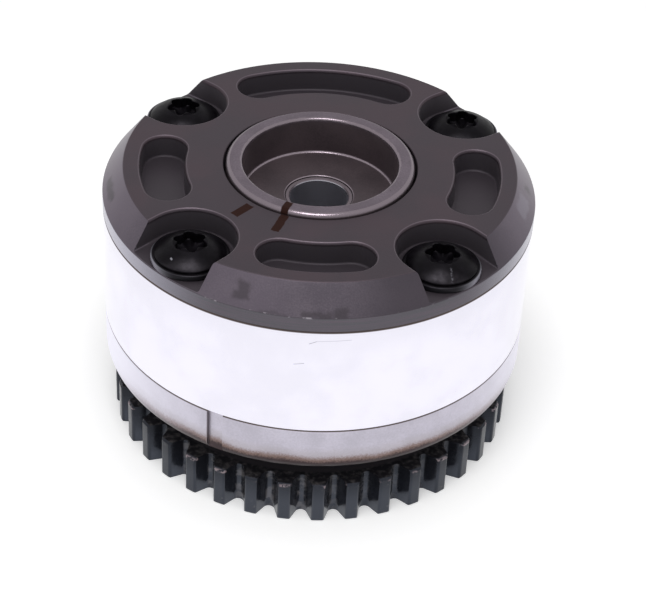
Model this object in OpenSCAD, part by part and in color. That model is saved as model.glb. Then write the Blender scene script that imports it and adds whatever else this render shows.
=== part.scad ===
// Vane-type cam phaser: chain sprocket, vane housing and front cover around a rotor with four vanes.
// Millimetres, +Z up along the cam axis, z = 0 at the rear face of the teeth.
// Angles are counted from the front (-Y), positive towards +X.

/* [Chain sprocket] */
// Pitch of the silent chain
chain_pitch = 8; // [7:0.05:9.5]
// Least step from the tooth tips out to the rim of the housing
rim_step = 2; // [1:0.1:4]
// How far the tooth tips lie inside the pitch circle
tip_drop = 0.45; // [0.2:0.05:0.9]
// Depth of a tooth, tip to valley
tooth_depth = 3.8; // [3:0.1:4.2]
// Width of a tooth at its tip, before its shoulders are rounded
tooth_tip_w = 2.7; // [1.8:0.1:2.9]
// Round on the shoulders of a tooth
tooth_shoulder = 0.7; // [0.3:0.05:0.9]
// Lean of each tooth flank
flank_deg = 25; // [15:1:30]
// Width of the teeth along the axis
tooth_w = 10.8; // [8:0.1:14]
// Turn of the whole tooth ring, so that a tooth meets its timing link
tooth_phase_deg = -1; // [-4.5:0.1:4.5]
// Bevel on the upper edges of the teeth
tooth_bevel = 0.9; // [0.3:0.1:1.5]
// Bevel on the lower edges of the teeth
tooth_rear_bevel = 0.2; // [0.1:0.1:1.5]
// Height of the neck between the teeth and the flange
neck_h = 6.3; // [4:0.1:12]
// Step from the tooth valleys in to the neck
neck_step = 4.7; // [3:0.1:7]
// Thickness of the flange that closes the housing
flange_h = 11.9; // [9.6:0.1:14]
// Round on the lower edge of the flange
flange_round = 3; // [0.5:0.1:4]
// Depth of the hollow in the rear face
relief_depth = 12; // [6:0.1:15]
// Wall between the hollow and the neck
relief_wall = 6.5; // [4:0.1:9]
// Width of the timing groove in the flange
timing_w = 3.9; // [2:0.1:6]
// Depth of the timing groove
timing_depth = 0.9; // [0.4:0.1:2]
// Direction of the timing groove
timing_deg = -24.8; // [-60:0.1:60]

/* [Vane housing] */
// Outer radius of the housing
housing_r = 50; // [46:0.1:56]
// Height of the housing
housing_h = 27.9; // [24:0.1:34]
// Wall around the chambers
housing_wall = 6.5; // [5:0.1:8]
// Half width of a lobe
lobe_half_deg = 17; // [14:0.5:18]
// Small bevel on the rim of each stacked piece
rim_bevel = 0.3; // [0.1:0.05:0.6]

/* [Front cover] */
// Thickness of the cover
cover_h = 10; // [8.5:0.1:13]
// Height of the turned strip at the rim
strip_h = 3.7; // [2:0.1:5]
// Width of the bevel from the strip up to the top face
cover_bevel_w = 4.8; // [3:0.1:6]
// Outer edge of the arc pockets, measured in from the rim
arc_inset = 8.7; // [8:0.1:10]
// Width of the arc pockets
arc_w = 10.2; // [8:0.1:10.8]
// Depth of the arc pockets
arc_depth = 5.7; // [3:0.1:6.5]
// Half span of the three short arc pockets
arc_half_deg = 20.8; // [16:0.1:23]
// Half span of the long rear arc pocket
rear_arc_half_deg = 33.8; // [26:0.1:36]
// Direction of the two arc pockets at the sides
side_arc_deg = 83; // [81:0.5:86]
// Round on the upper edges of the pockets
pocket_edge = 0.8; // [0.4:0.1:1.2]
// Round at the foot of the pocket walls
pocket_foot = 0.5; // [0.3:0.1:1]

/* [Cover bolts] */
// Half angle between the two front bolts
front_bolt_deg = 42; // [40:0.5:44]
// Half angle between the two rear bolts
rear_bolt_deg = 54; // [50:0.5:58]
// Bolt centres, measured in from the rim
bolt_inset = 8.8; // [8:0.1:10]
// Nominal bolt radius
bolt_r = 4; // [3:0.1:4.5]
// Radius of the head flange
bolt_flange_r = 8.8; // [7:0.1:9.2]
// Thickness of the head flange
bolt_flange_h = 1.8; // [1:0.1:2.4]
// Height of the whole head
bolt_head_h = 5.1; // [4:0.1:5.6]
// How far the dome stands inside the flange
dome_step = 0.8; // [0.3:0.05:1.2]
// Radius over the points of the six-lobe recess
recess_r = 3.9; // [2.8:0.1:4.2]
// Depth of the six-lobe recess
recess_depth = 3; // [2:0.1:3.5]
// Thread held in the flange
thread_engage = 8.1; // [6:0.1:8.4]
// Cover thickness left under the bolt heads
bolt_seat_h = 4; // [3:0.1:5]
// Room between the bolt flange and its pocket wall
pocket_room = 1.5; // [0.8:0.1:2.2]

/* [Rotor] */
// Outer radius of the hub ring in the cover
ring_r = 21.75; // [20:0.05:24]
// Wall of the hub ring
ring_wall = 3.85; // [2.5:0.05:5]
// Height of the hub ring above the cover
ring_proud = 0.85; // [0.3:0.05:2]
// Gap between the hub ring and the cover
ring_gap = 0.75; // [0.4:0.05:1.5]
// Land of the hub behind the cover
hub_land = 3.5; // [2:0.1:5]
// Depth of the cup in the hub ring
cup_depth = 9.45; // [7:0.05:10.5]
// Round at the foot of the cup
cup_round = 0.6; // [0.3:0.1:2.5]
// Bevel on the mouth of the cup
cup_bevel = 0.8; // [0.3:0.1:1.2]
// Round on the outer edge of the hub ring
ring_round = 1.2; // [0.5:0.1:1.8]
// Radius of the cam-bolt bore
bore_r = 6.75; // [5.5:0.05:7.5]
// Width of the stepped sink round the bore
sink_w = 1.2; // [0.5:0.1:2]
// Depth of the stepped sink
sink_depth = 0.7; // [0.3:0.1:1.5]
// Radius of the rear journal in the sprocket
journal_r = 20; // [17:0.1:22]
// Length of the rear journal
journal_len = 10.8; // [8:0.1:14]
// Radius of the camshaft pilot
pilot_r = 14; // [12.8:0.1:15]
// Depth of the camshaft pilot
pilot_depth = 5; // [3:0.1:7]
// Radius of the camshaft dowel hole
dowel_r = 2.55; // [1.5:0.05:2.6]
// Depth of the camshaft dowel hole
dowel_depth = 6; // [3:0.1:9]
// Radius of the oil passages
oil_r = 1.6; // [1:0.1:1.7]
// Radius at which the oil passages and the dowel hole lie
oil_pcr = 10.5; // [10.2:0.05:10.9]
// Width of the three plain vanes
vane_deg = 22; // [16:0.5:24]
// How far the rotor turns between its stops
travel_deg = 21; // [15:0.5:24]
// Angle left free at each stop
stop_clear_deg = 0.5; // [0.4:0.1:1]
// Offset of the seal from the middle of the wide vane
wide_seal_deg = 15; // [13:0.5:20]

/* [Seals] */
// Width of the seal strips
seal_w = 1.9; // [1.4:0.1:2.6]
// Radial thickness of the seal strips
seal_t = 3; // [2.2:0.1:3.6]
// Room for the leaf spring behind a seal
leaf_room = 1.45; // [1:0.05:2]
// Thickness of the leaf springs
leaf_t = 0.3; // [0.15:0.05:0.4]
// Length of the leaf springs
leaf_len = 20; // [14:0.5:22]

/* [Lock pin] */
// Radius of the lock pin
pin_r = 4.5; // [3.8:0.1:5]
// Length of the lock pin
pin_len = 14; // [10:0.1:15]
// Wall of the hollow pin
pin_wall = 1.2; // [0.9:0.1:1.6]
// Bevel on the tip of the pin
pin_bevel = 0.8; // [0.3:0.1:1.2]
// Wall of the sleeve that guides the pin
sleeve_wall = 1.5; // [1:0.1:1.8]
// Thickness of the plug above the spring
plug_h = 2.5; // [1.5:0.1:3.5]
// Radius of the vent in the plug
vent_r = 0.8; // [0.4:0.1:1.2]
// Wall of the seat in the flange
seat_wall = 1.8; // [1.2:0.1:2.4]
// Depth of the seat
seat_depth = 6; // [4:0.1:7]
// Wire radius of the pin spring
wire_r = 0.4; // [0.25:0.05:0.5]
// Turns of the pin spring
spring_turns = 6; // [4:0.5:8]

/* [Clearances] */
// Radial clearance of the journal and the pin
run_clear = 0.03; // [0.02:0.01:0.08]
// Axial clearance of the rotor on each side
end_clear = 0.05; // [0.03:0.01:0.1]
// Clearance of a seal at its face and sides
seal_clear = 0.05; // [0.03:0.01:0.08]
// Gap between a vane or lobe and the wall it passes
tip_gap = 0.3; // [0.2:0.05:0.5]
// Radial clearance of the bolts in the cover and the housing
bolt_clear = 0.25; // [0.1:0.05:0.5]
// Radial clearance of pressed and threaded pieces
seat_clear = 0.02; // [0.01:0.01:0.05]
// Distance of the withdrawn pin tip from the rotor's rear face
pin_back = 0.1; // [0.05:0.05:0.4]

/* [Hidden] */
$fn = 96;
over = 1;             // overrun of a cut past the face it leaves
round_steps = 5;      // straight steps in a turned round
edge_steps = 3;       // straight steps in the round of a pocket
edge_cut = 0.1;       // share of a pocket's upper round that the top face cuts off
span_steps = 14;      // straight steps along an arc pocket
end_steps = 8;        // straight steps round its ends
valley_steps = 6;     // straight steps in a tooth valley
shoulder_steps = 3;   // straight steps on a tooth shoulder
wire_sides = 8;       // sides of a coil's wire
wire_steps = 16;      // rings in one turn of a coil

// Heights, from the rear face of the teeth up
z_neck = tooth_w + neck_h;
z_plate = z_neck + flange_h;
z_housing = z_plate + housing_h;
z_cover = z_housing + cover_h;
z_ring = z_cover + ring_proud;
z_cup = z_ring - cup_depth;
z_rear = z_plate - journal_len;
z_pilot = z_rear + pilot_depth;
z_rotor = z_plate + end_clear;
rotor_h = housing_h - 2 * end_clear;
z_bolt = z_housing + bolt_seat_h;

// Teeth: as many whole pitches as fit inside the rim
tooth_count = floor(180 / asin(chain_pitch / 2 / (housing_r - rim_step + tip_drop)));
tip_r = chain_pitch / 2 / sin(180 / tooth_count) - tip_drop;
root_r = tip_r - tooth_depth;
valley_deg = 180 / tooth_count - asin(tooth_tip_w / 2 / tip_r);
valley_x = tip_r * sin(valley_deg);
valley_y = tip_r * cos(valley_deg);
valley_r = (valley_x * cos(flank_deg) + (root_r - valley_y) * sin(flank_deg)) / (1 - sin(flank_deg));
neck_r = root_r - neck_step;
relief_r = neck_r - relief_wall;

// Chambers, lobes and vanes
chamber_r = housing_r - housing_wall;
cover_hole_r = ring_r + ring_gap;
hub_r = cover_hole_r + hub_land;
lobe_r = hub_r + tip_gap;
vane_r = chamber_r - tip_gap;
bolt_pcr = housing_r - bolt_inset;
side_deg = (front_bolt_deg + 180 - rear_bolt_deg) / 2;
wide_deg = 2 * (rear_bolt_deg - lobe_half_deg - stop_clear_deg) - travel_deg;
FRONT = 0;
RIGHT = 1;
REAR = 2;
LEFT = 3;
LOBES = [-front_bolt_deg, front_bolt_deg, 180 - rear_bolt_deg, 180 + rear_bolt_deg];
CHAMBERS = [0, side_deg, 180, -side_deg];
VANES = [for (c = CHAMBERS) c + travel_deg / 2];
VANE_W = [vane_deg, vane_deg, wide_deg, vane_deg];
dowel_deg = (VANES[RIGHT] + vane_deg / 2 + VANES[REAR] - wide_deg / 2) / 2;
SEAL_AT = [VANES[FRONT], VANES[RIGHT], VANES[REAR] + wide_seal_deg, VANES[LEFT]];

// Seals
slot_w = seal_w + 2 * seal_clear;
vane_face_r = chamber_r - seal_clear;
vane_back_r = vane_face_r - seal_t;
lobe_face_r = hub_r + seal_clear;
lobe_back_r = lobe_face_r + seal_t;

// Lock pin
pin_pos_r = (hub_r + chamber_r) / 2;
sleeve_ir = pin_r + run_clear;
sleeve_or = sleeve_ir + sleeve_wall;
z_pin = z_rotor + pin_back;
z_plug = z_rotor + rotor_h - plug_h;
pin_floor = 2 * pin_wall;

// Points on a round, from angle a to angle b about a centre
function round_pts(x, y, r, a, b, steps = round_steps) =
    [for (i = [0:steps]) let (t = a + (b - a) * i / steps) [x + r * cos(t), y + r * sin(t)]];

// Right shoulder of a tooth valley, from the flank out to the tip
function shoulder_pts() =
    let (half = 180 / tooth_count, run = tooth_shoulder * tan((90 - flank_deg + half) / 2))
    round_pts(
        valley_x + run * cos(half) - tooth_shoulder * sin(half),
        valley_y - run * sin(half) - tooth_shoulder * cos(half),
        tooth_shoulder, 180 - flank_deg, 90 - half, shoulder_steps);

// One tooth valley between two half tips, on the +Y ray
function valley_pts() =
    let (right = shoulder_pts())
    concat(
        [for (i = [shoulder_steps:-1:0]) [-right[i].x, right[i].y]],
        [for (i = [0:valley_steps])
            let (t = 180 + flank_deg + i * (180 - 2 * flank_deg) / valley_steps)
            [valley_r * cos(t), root_r + valley_r + valley_r * sin(t)]],
        right);

function turned(p, a) = [p.x * cos(a) - p.y * sin(a), p.x * sin(a) + p.y * cos(a)];

// Half section of a pocket: rounded foot, straight wall, rounded upper edge
function pocket_half(w, z0, z1) =
    concat(
        [[0, z0]],
        round_pts(w - pocket_foot, z0 + pocket_foot, pocket_foot, -90, 0, edge_steps),
        round_pts(w + pocket_edge, z1 - (1 - edge_cut) * pocket_edge, pocket_edge, 180, 90, edge_steps),
        [[w + pocket_edge, z1 + over], [0, z1 + over]]);

function both_sides(p) = concat(p, [for (i = [len(p) - 1:-1:0]) [-p[i].x, p[i].y]]);

// Outline of an arc slot about the +X ray: outer edge, round end, inner edge, round end
function arc_outline(r, w, a) =
    concat(
        [for (i = [0:span_steps]) let (t = a * (2 * i / span_steps - 1)) (r + w) * [cos(t), sin(t)]],
        [for (i = [1:end_steps - 1])
            let (t = a + 180 * i / end_steps) r * [cos(a), sin(a)] + w * [cos(t), sin(t)]],
        [for (i = [0:span_steps]) let (t = a * (1 - 2 * i / span_steps)) (r - w) * [cos(t), sin(t)]],
        [for (i = [1:end_steps - 1])
            let (t = 180 - a + 180 * i / end_steps) r * [cos(a), -sin(a)] + w * [cos(t), sin(t)]]);

// Round of wire points at angle a of a coil
function coil_ring(r, a, z) =
    [for (k = [0:wire_sides - 1])
        let (b = -360 * k / wire_sides, d = r + wire_r * cos(b))
        [d * cos(a), d * sin(a), z + wire_r * sin(b)]];

// Places its children on the ray at t degrees from the front
module on_ray(t, r = 0, z = 0) {
    rotate([0, 0, t - 90]) translate([r, 0, z]) children();
}

// Closed solid through a row of rings with equal counts of points
module loft(rings) {
    n = len(rings);
    s = len(rings[0]);
    polyhedron(
        points = [for (ring = rings) each ring],
        faces = concat(
            [[for (k = [0:s - 1]) k], [for (k = [s - 1:-1:0]) (n - 1) * s + k]],
            [for (i = [0:n - 2]) for (k = [0:s - 1])
                [i * s + k, (i + 1) * s + k, (i + 1) * s + (k + 1) % s, i * s + (k + 1) % s]]));
}

module wedge(t, half) {
    x = 2 * housing_r * cos(half);
    y = 2 * housing_r * sin(half);
    rotate(t - 90) polygon([[0, 0], [x, -y], [x, y]]);
}

module sector(t, half, r0, r1) {
    intersection() {
        difference() {
            circle(r1);
            circle(r0);
        }
        wedge(t, half);
    }
}

// Chain teeth with bevelled edges
module teeth() {
    pitch = 360 / tooth_count;
    intersection() {
        linear_extrude(tooth_w)
            polygon([for (i = [0:tooth_count - 1])
                for (p = valley_pts()) turned(p, tooth_phase_deg - i * pitch)]);
        rotate_extrude()
            polygon([
                [0, 0], [tip_r - tooth_rear_bevel, 0], [tip_r + over, tooth_rear_bevel + over],
                [tip_r + over, tooth_w - tooth_bevel - over], [tip_r - tooth_bevel, tooth_w], [0, tooth_w],
            ]);
    }
}

module sprocket() {
    color([0.66, 0.65, 0.66])
    difference() {
        union() {
            teeth();
            rotate_extrude()
                polygon(concat(
                    [[0, tooth_w / 2], [neck_r, tooth_w / 2], [neck_r, z_neck]],
                    round_pts(housing_r - flange_round, z_neck + flange_round, flange_round, -90, 0),
                    [[housing_r, z_plate - rim_bevel], [housing_r - rim_bevel, z_plate], [0, z_plate]]));
        }
        translate([0, 0, -over]) cylinder(r = journal_r, h = z_plate + 2 * over);
        translate([0, 0, -over]) cylinder(r = relief_r, h = relief_depth + over);
        for (t = LOBES)
            on_ray(t, bolt_pcr, z_plate - thread_engage - bolt_r / 3)
                cylinder(r = bolt_r + seat_clear, h = thread_engage + bolt_r / 3 + over);
        on_ray(VANES[REAR], pin_pos_r, z_plate - seat_depth)
            cylinder(r = sleeve_or + seat_clear, h = seat_depth + over);
        on_ray(timing_deg, housing_r - timing_depth, z_neck - over)
            translate([0, -timing_w / 2, 0]) cube([timing_depth + over, timing_w, flange_h + 2 * over]);
    }
}

module vane_housing() {
    color([0.9, 0.9, 0.93])
    translate([0, 0, z_plate])
    difference() {
        union() {
            rotate_extrude()
                polygon([
                    [chamber_r, 0], [housing_r - rim_bevel, 0],
                    [housing_r, rim_bevel], [housing_r, housing_h - rim_bevel],
                    [housing_r - rim_bevel, housing_h], [chamber_r, housing_h],
                ]);
            linear_extrude(housing_h)
                for (t = LOBES) sector(t, lobe_half_deg, lobe_r, chamber_r + housing_wall / 2);
        }
        for (t = LOBES) {
            on_ray(t, bolt_pcr, -over) cylinder(r = bolt_r + bolt_clear, h = housing_h + 2 * over);
            on_ray(t, 0, -over) translate([hub_r - over, -slot_w / 2, 0])
                cube([lobe_back_r + leaf_room - hub_r + over, slot_w, housing_h + 2 * over]);
        }
    }
}

// Arc pocket with round ends, cut from the top face
module arc_pocket(t, half) {
    w = arc_w / 2;
    r = housing_r - arc_inset - w;
    section = pocket_half(w, z_cover - arc_depth, z_cover);
    rotate([0, 0, t - 90])
        loft([for (i = [1:len(section) - 2])
            [for (p = arc_outline(r, section[i].x, half - asin(w / r))) [p.x, p.y, section[i].y]]]);
}

// Bolt pocket: half round towards the middle, open to the rim
module bolt_pocket(t) {
    section = pocket_half(bolt_flange_r + pocket_room, z_bolt, z_cover);
    on_ray(t, bolt_pcr) {
        rotate([0, 0, 90]) rotate_extrude(angle = 180) polygon(section);
        rotate([90, 0, 90]) linear_extrude(bolt_inset + 2 * over) polygon(both_sides(section));
    }
}

module front_cover() {
    color([0.45, 0.41, 0.42])
    difference() {
        rotate_extrude()
            polygon([
                [cover_hole_r, z_housing], [housing_r - rim_bevel, z_housing],
                [housing_r, z_housing + rim_bevel], [housing_r, z_housing + strip_h],
                [housing_r - cover_bevel_w, z_cover],
                [cover_hole_r + rim_bevel, z_cover], [cover_hole_r, z_cover - rim_bevel],
            ]);
        for (t = [CHAMBERS[FRONT], side_arc_deg, -side_arc_deg]) arc_pocket(t, arc_half_deg);
        arc_pocket(CHAMBERS[REAR], rear_arc_half_deg);
        for (t = LOBES) {
            bolt_pocket(t);
            on_ray(t, bolt_pcr, z_housing - over)
                cylinder(r = bolt_r + bolt_clear, h = bolt_seat_h + 2 * over);
        }
    }
}

// Six-lobe drive recess
module six_lobe() {
    bump_r = recess_r * 0.38;
    difference() {
        circle(recess_r);
        for (k = [0:5]) rotate(60 * k + 30) translate([recess_r * 1.12, 0]) circle(bump_r);
    }
}

// Flanged button-head bolt, seated at z = 0
module bolt() {
    length = bolt_seat_h + housing_h + thread_engage;
    dome_r = bolt_flange_r - dome_step;
    dome_h = bolt_head_h - bolt_flange_h;
    ball_r = (dome_r * dome_r + dome_h * dome_h) / 2 / dome_h;
    ball_deg = asin(dome_r / ball_r);
    nose = bolt_r / 6;
    edge = bolt_flange_h / 5;
    difference() {
        rotate_extrude()
            polygon(concat(
                [[0, -length], [bolt_r - nose, -length], [bolt_r, nose - length], [bolt_r, 0]],
                [[bolt_flange_r - edge, 0], [bolt_flange_r, edge], [bolt_flange_r, bolt_flange_h - 2 * edge]],
                [[bolt_flange_r - edge, bolt_flange_h - edge], [dome_r - edge, bolt_flange_h - edge]],
                round_pts(0, bolt_head_h - ball_r, ball_r, 90 - ball_deg, 90)));
        translate([0, 0, bolt_head_h - recess_depth]) linear_extrude(recess_depth + over) six_lobe();
    }
}

module cover_bolts() {
    color([0.07, 0.07, 0.08])
    for (t = LOBES) on_ray(t, bolt_pcr, z_bolt) bolt();
}

// Hub, cup, bore and rear journal in one turned section
module rotor_core() {
    cup_r = ring_r - ring_wall;
    shaft_r = journal_r - run_clear;
    z_top = z_rotor + rotor_h;
    rotate_extrude()
        polygon(concat(
            [[bore_r, z_pilot], [pilot_r, z_pilot], [pilot_r, z_rear], [shaft_r - sink_depth, z_rear]],
            [[shaft_r, z_rear + sink_depth], [shaft_r, z_rotor], [hub_r, z_rotor]],
            [[hub_r, z_top], [ring_r, z_top]],
            round_pts(ring_r - ring_round, z_ring - ring_round, ring_round, 0, 90),
            [[cup_r + cup_bevel, z_ring], [cup_r, z_ring - cup_bevel]],
            round_pts(cup_r - cup_round, z_cup + cup_round, cup_round, 0, -90),
            [[bore_r + sink_w, z_cup], [bore_r + sink_w * 3 / 4, z_cup - sink_depth / 2]],
            [[bore_r + sink_w / 4, z_cup - sink_depth / 2], [bore_r, z_cup - sink_depth]]));
}

// Oil passage from the camshaft face up and out to one side of a vane
module oil_passage(t, z) {
    on_ray(t, oil_pcr, z_pilot - over) cylinder(r = oil_r, h = z - z_pilot + over);
    on_ray(t, oil_pcr, z) rotate([0, 90, 0]) cylinder(r = oil_r, h = hub_r - oil_pcr + over);
}

module rotor() {
    port_deg = asin(oil_r / hub_r) + stop_clear_deg;
    color([0.5, 0.46, 0.47])
    difference() {
        union() {
            rotor_core();
            translate([0, 0, z_rotor]) linear_extrude(rotor_h)
                for (i = [FRONT:LEFT]) sector(VANES[i], VANE_W[i] / 2, hub_r - hub_land / 2, vane_r);
        }
        for (t = SEAL_AT)
            on_ray(t, vane_back_r - leaf_room, z_rotor - over) translate([0, -slot_w / 2, 0])
                cube([seal_t + leaf_room + over, slot_w, rotor_h + 2 * over]);
        for (i = [FRONT:LEFT]) {
            oil_passage(VANES[i] - VANE_W[i] / 2 - port_deg, z_rotor + rotor_h / 4);
            oil_passage(VANES[i] + VANE_W[i] / 2 + port_deg, z_rotor + rotor_h * 3 / 4);
        }
        on_ray(dowel_deg, oil_pcr, z_pilot - over) cylinder(r = dowel_r, h = dowel_depth + over);
        on_ray(VANES[REAR], pin_pos_r, z_rotor - over)
            cylinder(r = sleeve_or + seat_clear, h = rotor_h + 2 * over);
    }
}

// Seal strip in a vane tip, with its face on the chamber wall
module vane_seal(i) {
    color([0.16, 0.15, 0.15])
    intersection() {
        on_ray(SEAL_AT[i], vane_back_r, z_rotor) translate([0, -seal_w / 2, 0])
            cube([seal_t + over, seal_w, rotor_h]);
        translate([0, 0, z_rotor - over]) cylinder(r = vane_face_r, h = rotor_h + 2 * over);
    }
}

// Seal strip in a lobe tip, with its face on the hub
module lobe_seal(i) {
    color([0.16, 0.15, 0.15])
    difference() {
        on_ray(LOBES[i], hub_r - over, z_rotor) translate([0, -seal_w / 2, 0])
            cube([lobe_back_r - hub_r + over, seal_w, rotor_h]);
        translate([0, 0, z_rotor - over]) cylinder(r = lobe_face_r, h = rotor_h + 2 * over);
    }
}

// Bowed strip: ends at x = 0, crown at x = leaf_room less its clearance
module leaf() {
    bow = leaf_room - 2 * seal_clear - leaf_t;
    bow_r = (leaf_len * leaf_len / 4 + bow * bow) / 2 / bow;
    rotate([90, 0, 0]) linear_extrude(seal_w - 2 * seal_clear, center = true)
        intersection() {
            difference() {
                translate([bow - bow_r, 0]) circle(bow_r + leaf_t);
                translate([bow - bow_r, 0]) circle(bow_r);
            }
            translate([0, -leaf_len / 2]) square([leaf_room, leaf_len]);
        }
}

// Leaf spring under a vane seal: its ends bear on the seal, its crown on the floor of the slot
module vane_spring(i) {
    color([0.72, 0.72, 0.74])
    on_ray(SEAL_AT[i], vane_back_r - seal_clear, z_rotor + rotor_h / 2) rotate([0, 0, 180]) leaf();
}

// Leaf spring behind a lobe seal
module lobe_spring(i) {
    color([0.72, 0.72, 0.74])
    on_ray(LOBES[i], lobe_back_r + seal_clear, z_rotor + rotor_h / 2) leaf();
}

module vane_seal_front() vane_seal(FRONT);
module vane_seal_right() vane_seal(RIGHT);
module vane_seal_rear() vane_seal(REAR);
module vane_seal_left() vane_seal(LEFT);
module vane_spring_front() vane_spring(FRONT);
module vane_spring_right() vane_spring(RIGHT);
module vane_spring_rear() vane_spring(REAR);
module vane_spring_left() vane_spring(LEFT);
module lobe_seal_front_left() lobe_seal(0);
module lobe_seal_front_right() lobe_seal(1);
module lobe_seal_rear_right() lobe_seal(2);
module lobe_seal_rear_left() lobe_seal(3);
module lobe_spring_front_left() lobe_spring(0);
module lobe_spring_front_right() lobe_spring(1);
module lobe_spring_rear_right() lobe_spring(2);
module lobe_spring_rear_left() lobe_spring(3);

// Hollow pin, shown withdrawn from its seat
module lock_pin() {
    color([0.8, 0.8, 0.82])
    on_ray(VANES[REAR], pin_pos_r, z_pin)
        rotate_extrude()
            polygon([
                [0, 0], [pin_r - pin_bevel, 0], [pin_r, pin_bevel], [pin_r, pin_len],
                [pin_r - pin_wall, pin_len], [pin_r - pin_wall, pin_floor], [0, pin_floor],
            ]);
}

module lock_pin_spring() {
    r = pin_r - pin_wall - 2 * wire_r;
    foot = z_pin + pin_floor + wire_r + seal_clear;
    rise = z_plug - wire_r - seal_clear - foot;
    n = spring_turns * wire_steps;
    color([0.75, 0.75, 0.77])
    on_ray(VANES[REAR], pin_pos_r, foot)
        loft([for (i = [0:n]) coil_ring(r, 360 * i / wire_steps, rise * i / n)]);
}

module lock_pin_sleeve() {
    color([0.6, 0.6, 0.62])
    on_ray(VANES[REAR], pin_pos_r, z_rotor)
        difference() {
            cylinder(r = sleeve_or, h = rotor_h - plug_h);
            translate([0, 0, -over]) cylinder(r = sleeve_ir, h = rotor_h);
        }
}

module lock_pin_plug() {
    color([0.55, 0.53, 0.5])
    on_ray(VANES[REAR], pin_pos_r, z_plug)
        difference() {
            cylinder(r = sleeve_or, h = plug_h);
            translate([0, 0, -over]) cylinder(r = vent_r, h = plug_h + 2 * over);
        }
}

// Hardened seat that the pin drops into at the locked angle
module lock_pin_seat() {
    color([0.6, 0.6, 0.62])
    on_ray(VANES[REAR], pin_pos_r, z_plate - seat_depth)
        difference() {
            cylinder(r = sleeve_or, h = seat_depth);
            translate([0, 0, seat_wall])
                cylinder(r1 = pin_r + run_clear, r2 = sleeve_ir + pin_back, h = seat_depth);
        }
}

sprocket();
vane_housing();
front_cover();
cover_bolts();
rotor();
vane_seal_front();
vane_seal_right();
vane_seal_rear();
vane_seal_left();
vane_spring_front();
vane_spring_right();
vane_spring_rear();
vane_spring_left();
lobe_seal_front_left();
lobe_seal_front_right();
lobe_seal_rear_right();
lobe_seal_rear_left();
lobe_spring_front_left();
lobe_spring_front_right();
lobe_spring_rear_right();
lobe_spring_rear_left();
lock_pin();
lock_pin_spring();
lock_pin_sleeve();
lock_pin_plug();
lock_pin_seat();
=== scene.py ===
"""Looks of a vane-type cam phaser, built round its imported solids.

Lengths are millimetres, angles degrees from the front (-Y), positive towards +X.
"""

import logging
import math
from dataclasses import dataclass
from enum import Enum
from typing import Sequence, Union

import bmesh
import bpy
from mathutils import Matrix, Vector


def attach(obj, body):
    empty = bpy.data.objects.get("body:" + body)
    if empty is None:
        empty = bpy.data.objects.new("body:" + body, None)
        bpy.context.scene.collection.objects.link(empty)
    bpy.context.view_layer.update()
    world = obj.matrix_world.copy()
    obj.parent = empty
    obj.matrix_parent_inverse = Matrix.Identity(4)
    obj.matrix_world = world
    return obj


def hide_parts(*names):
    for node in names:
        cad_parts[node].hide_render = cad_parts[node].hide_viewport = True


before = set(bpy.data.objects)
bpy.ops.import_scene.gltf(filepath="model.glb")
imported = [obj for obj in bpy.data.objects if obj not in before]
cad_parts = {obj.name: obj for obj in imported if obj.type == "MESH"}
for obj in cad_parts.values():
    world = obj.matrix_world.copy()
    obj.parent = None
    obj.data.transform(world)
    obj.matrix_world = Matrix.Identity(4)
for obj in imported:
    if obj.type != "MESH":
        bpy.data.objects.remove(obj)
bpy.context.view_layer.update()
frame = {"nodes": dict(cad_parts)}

log = logging.getLogger("cam_phaser")

MM = 0.001              # metres in a millimetre
TURN = 304              # facets round a full turn, eight to a tooth
BAR_FACETS = 48         # facets round a hole parallel to the axis
OVER = 1.0              # how far a cutter reaches past the face that it opens
NOISE = (0.3, 0.7)      # values between which most of a noise lies
BACK = (140.0, 100.0)   # angles from the front between which the masks of the sides fade

Rgb = tuple[float, float, float]
Pair = tuple[float, float]
Marks = tuple[tuple[float, ...], ...]
Ring = list[Vector]
Profile = list[Pair]
Socket = bpy.types.NodeSocket
Value = Union[Socket, float]
Colour = Union[Socket, Rgb]


class Body(Enum):
    """CAD bodies that the pieces ride on."""

    HOUSING = "housing"
    ROTOR = "rotor"


class Slot(Enum):
    """Material slots of the record, named for the new pieces; nothing here reads them."""

    SPROCKET = "sprocket_steel"
    GROUND = "ground_steel"
    SINTERED = "sintered_steel"
    BOLTS = "black_bolts"


class Blend(Enum):
    """Ways of joining one solid to another."""

    CUT = "DIFFERENCE"
    ADD = "UNION"


def srgb(red: float, green: float, blue: float) -> Rgb:
    """Turns display values from 0 to 255 into a linear colour.

    Args:
        red: Display red.
        green: Display green.
        blue: Display blue.

    Returns:
        The linear colour.
    """
    shares = (c / 255 for c in (red, green, blue))
    return tuple(c / 12.92 if c <= 0.04045 else ((c + 0.055) / 1.055) ** 2.4 for c in shares)


def at(theta: float, r: float, z: float) -> Vector:
    """Gives the point at an angle from the front, a radius and a height, in metres."""
    t = math.radians(theta)
    return Vector((r * math.sin(t), -r * math.cos(t), z)) * MM


def arc(x: float, y: float, r: float, a: float, b: float, steps: int = 6) -> Profile:
    """Lists points on a round.

    Args:
        x: First coordinate of the centre.
        y: Second coordinate of the centre.
        r: Radius.
        a: Angle of the first point.
        b: Angle of the last point.
        steps: Straight steps between them.

    Returns:
        The points, both ends included.
    """
    turns = (math.radians(a + (b - a) * i / steps) for i in range(steps + 1))
    return [(x + r * math.cos(t), y + r * math.sin(t)) for t in turns]


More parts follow.
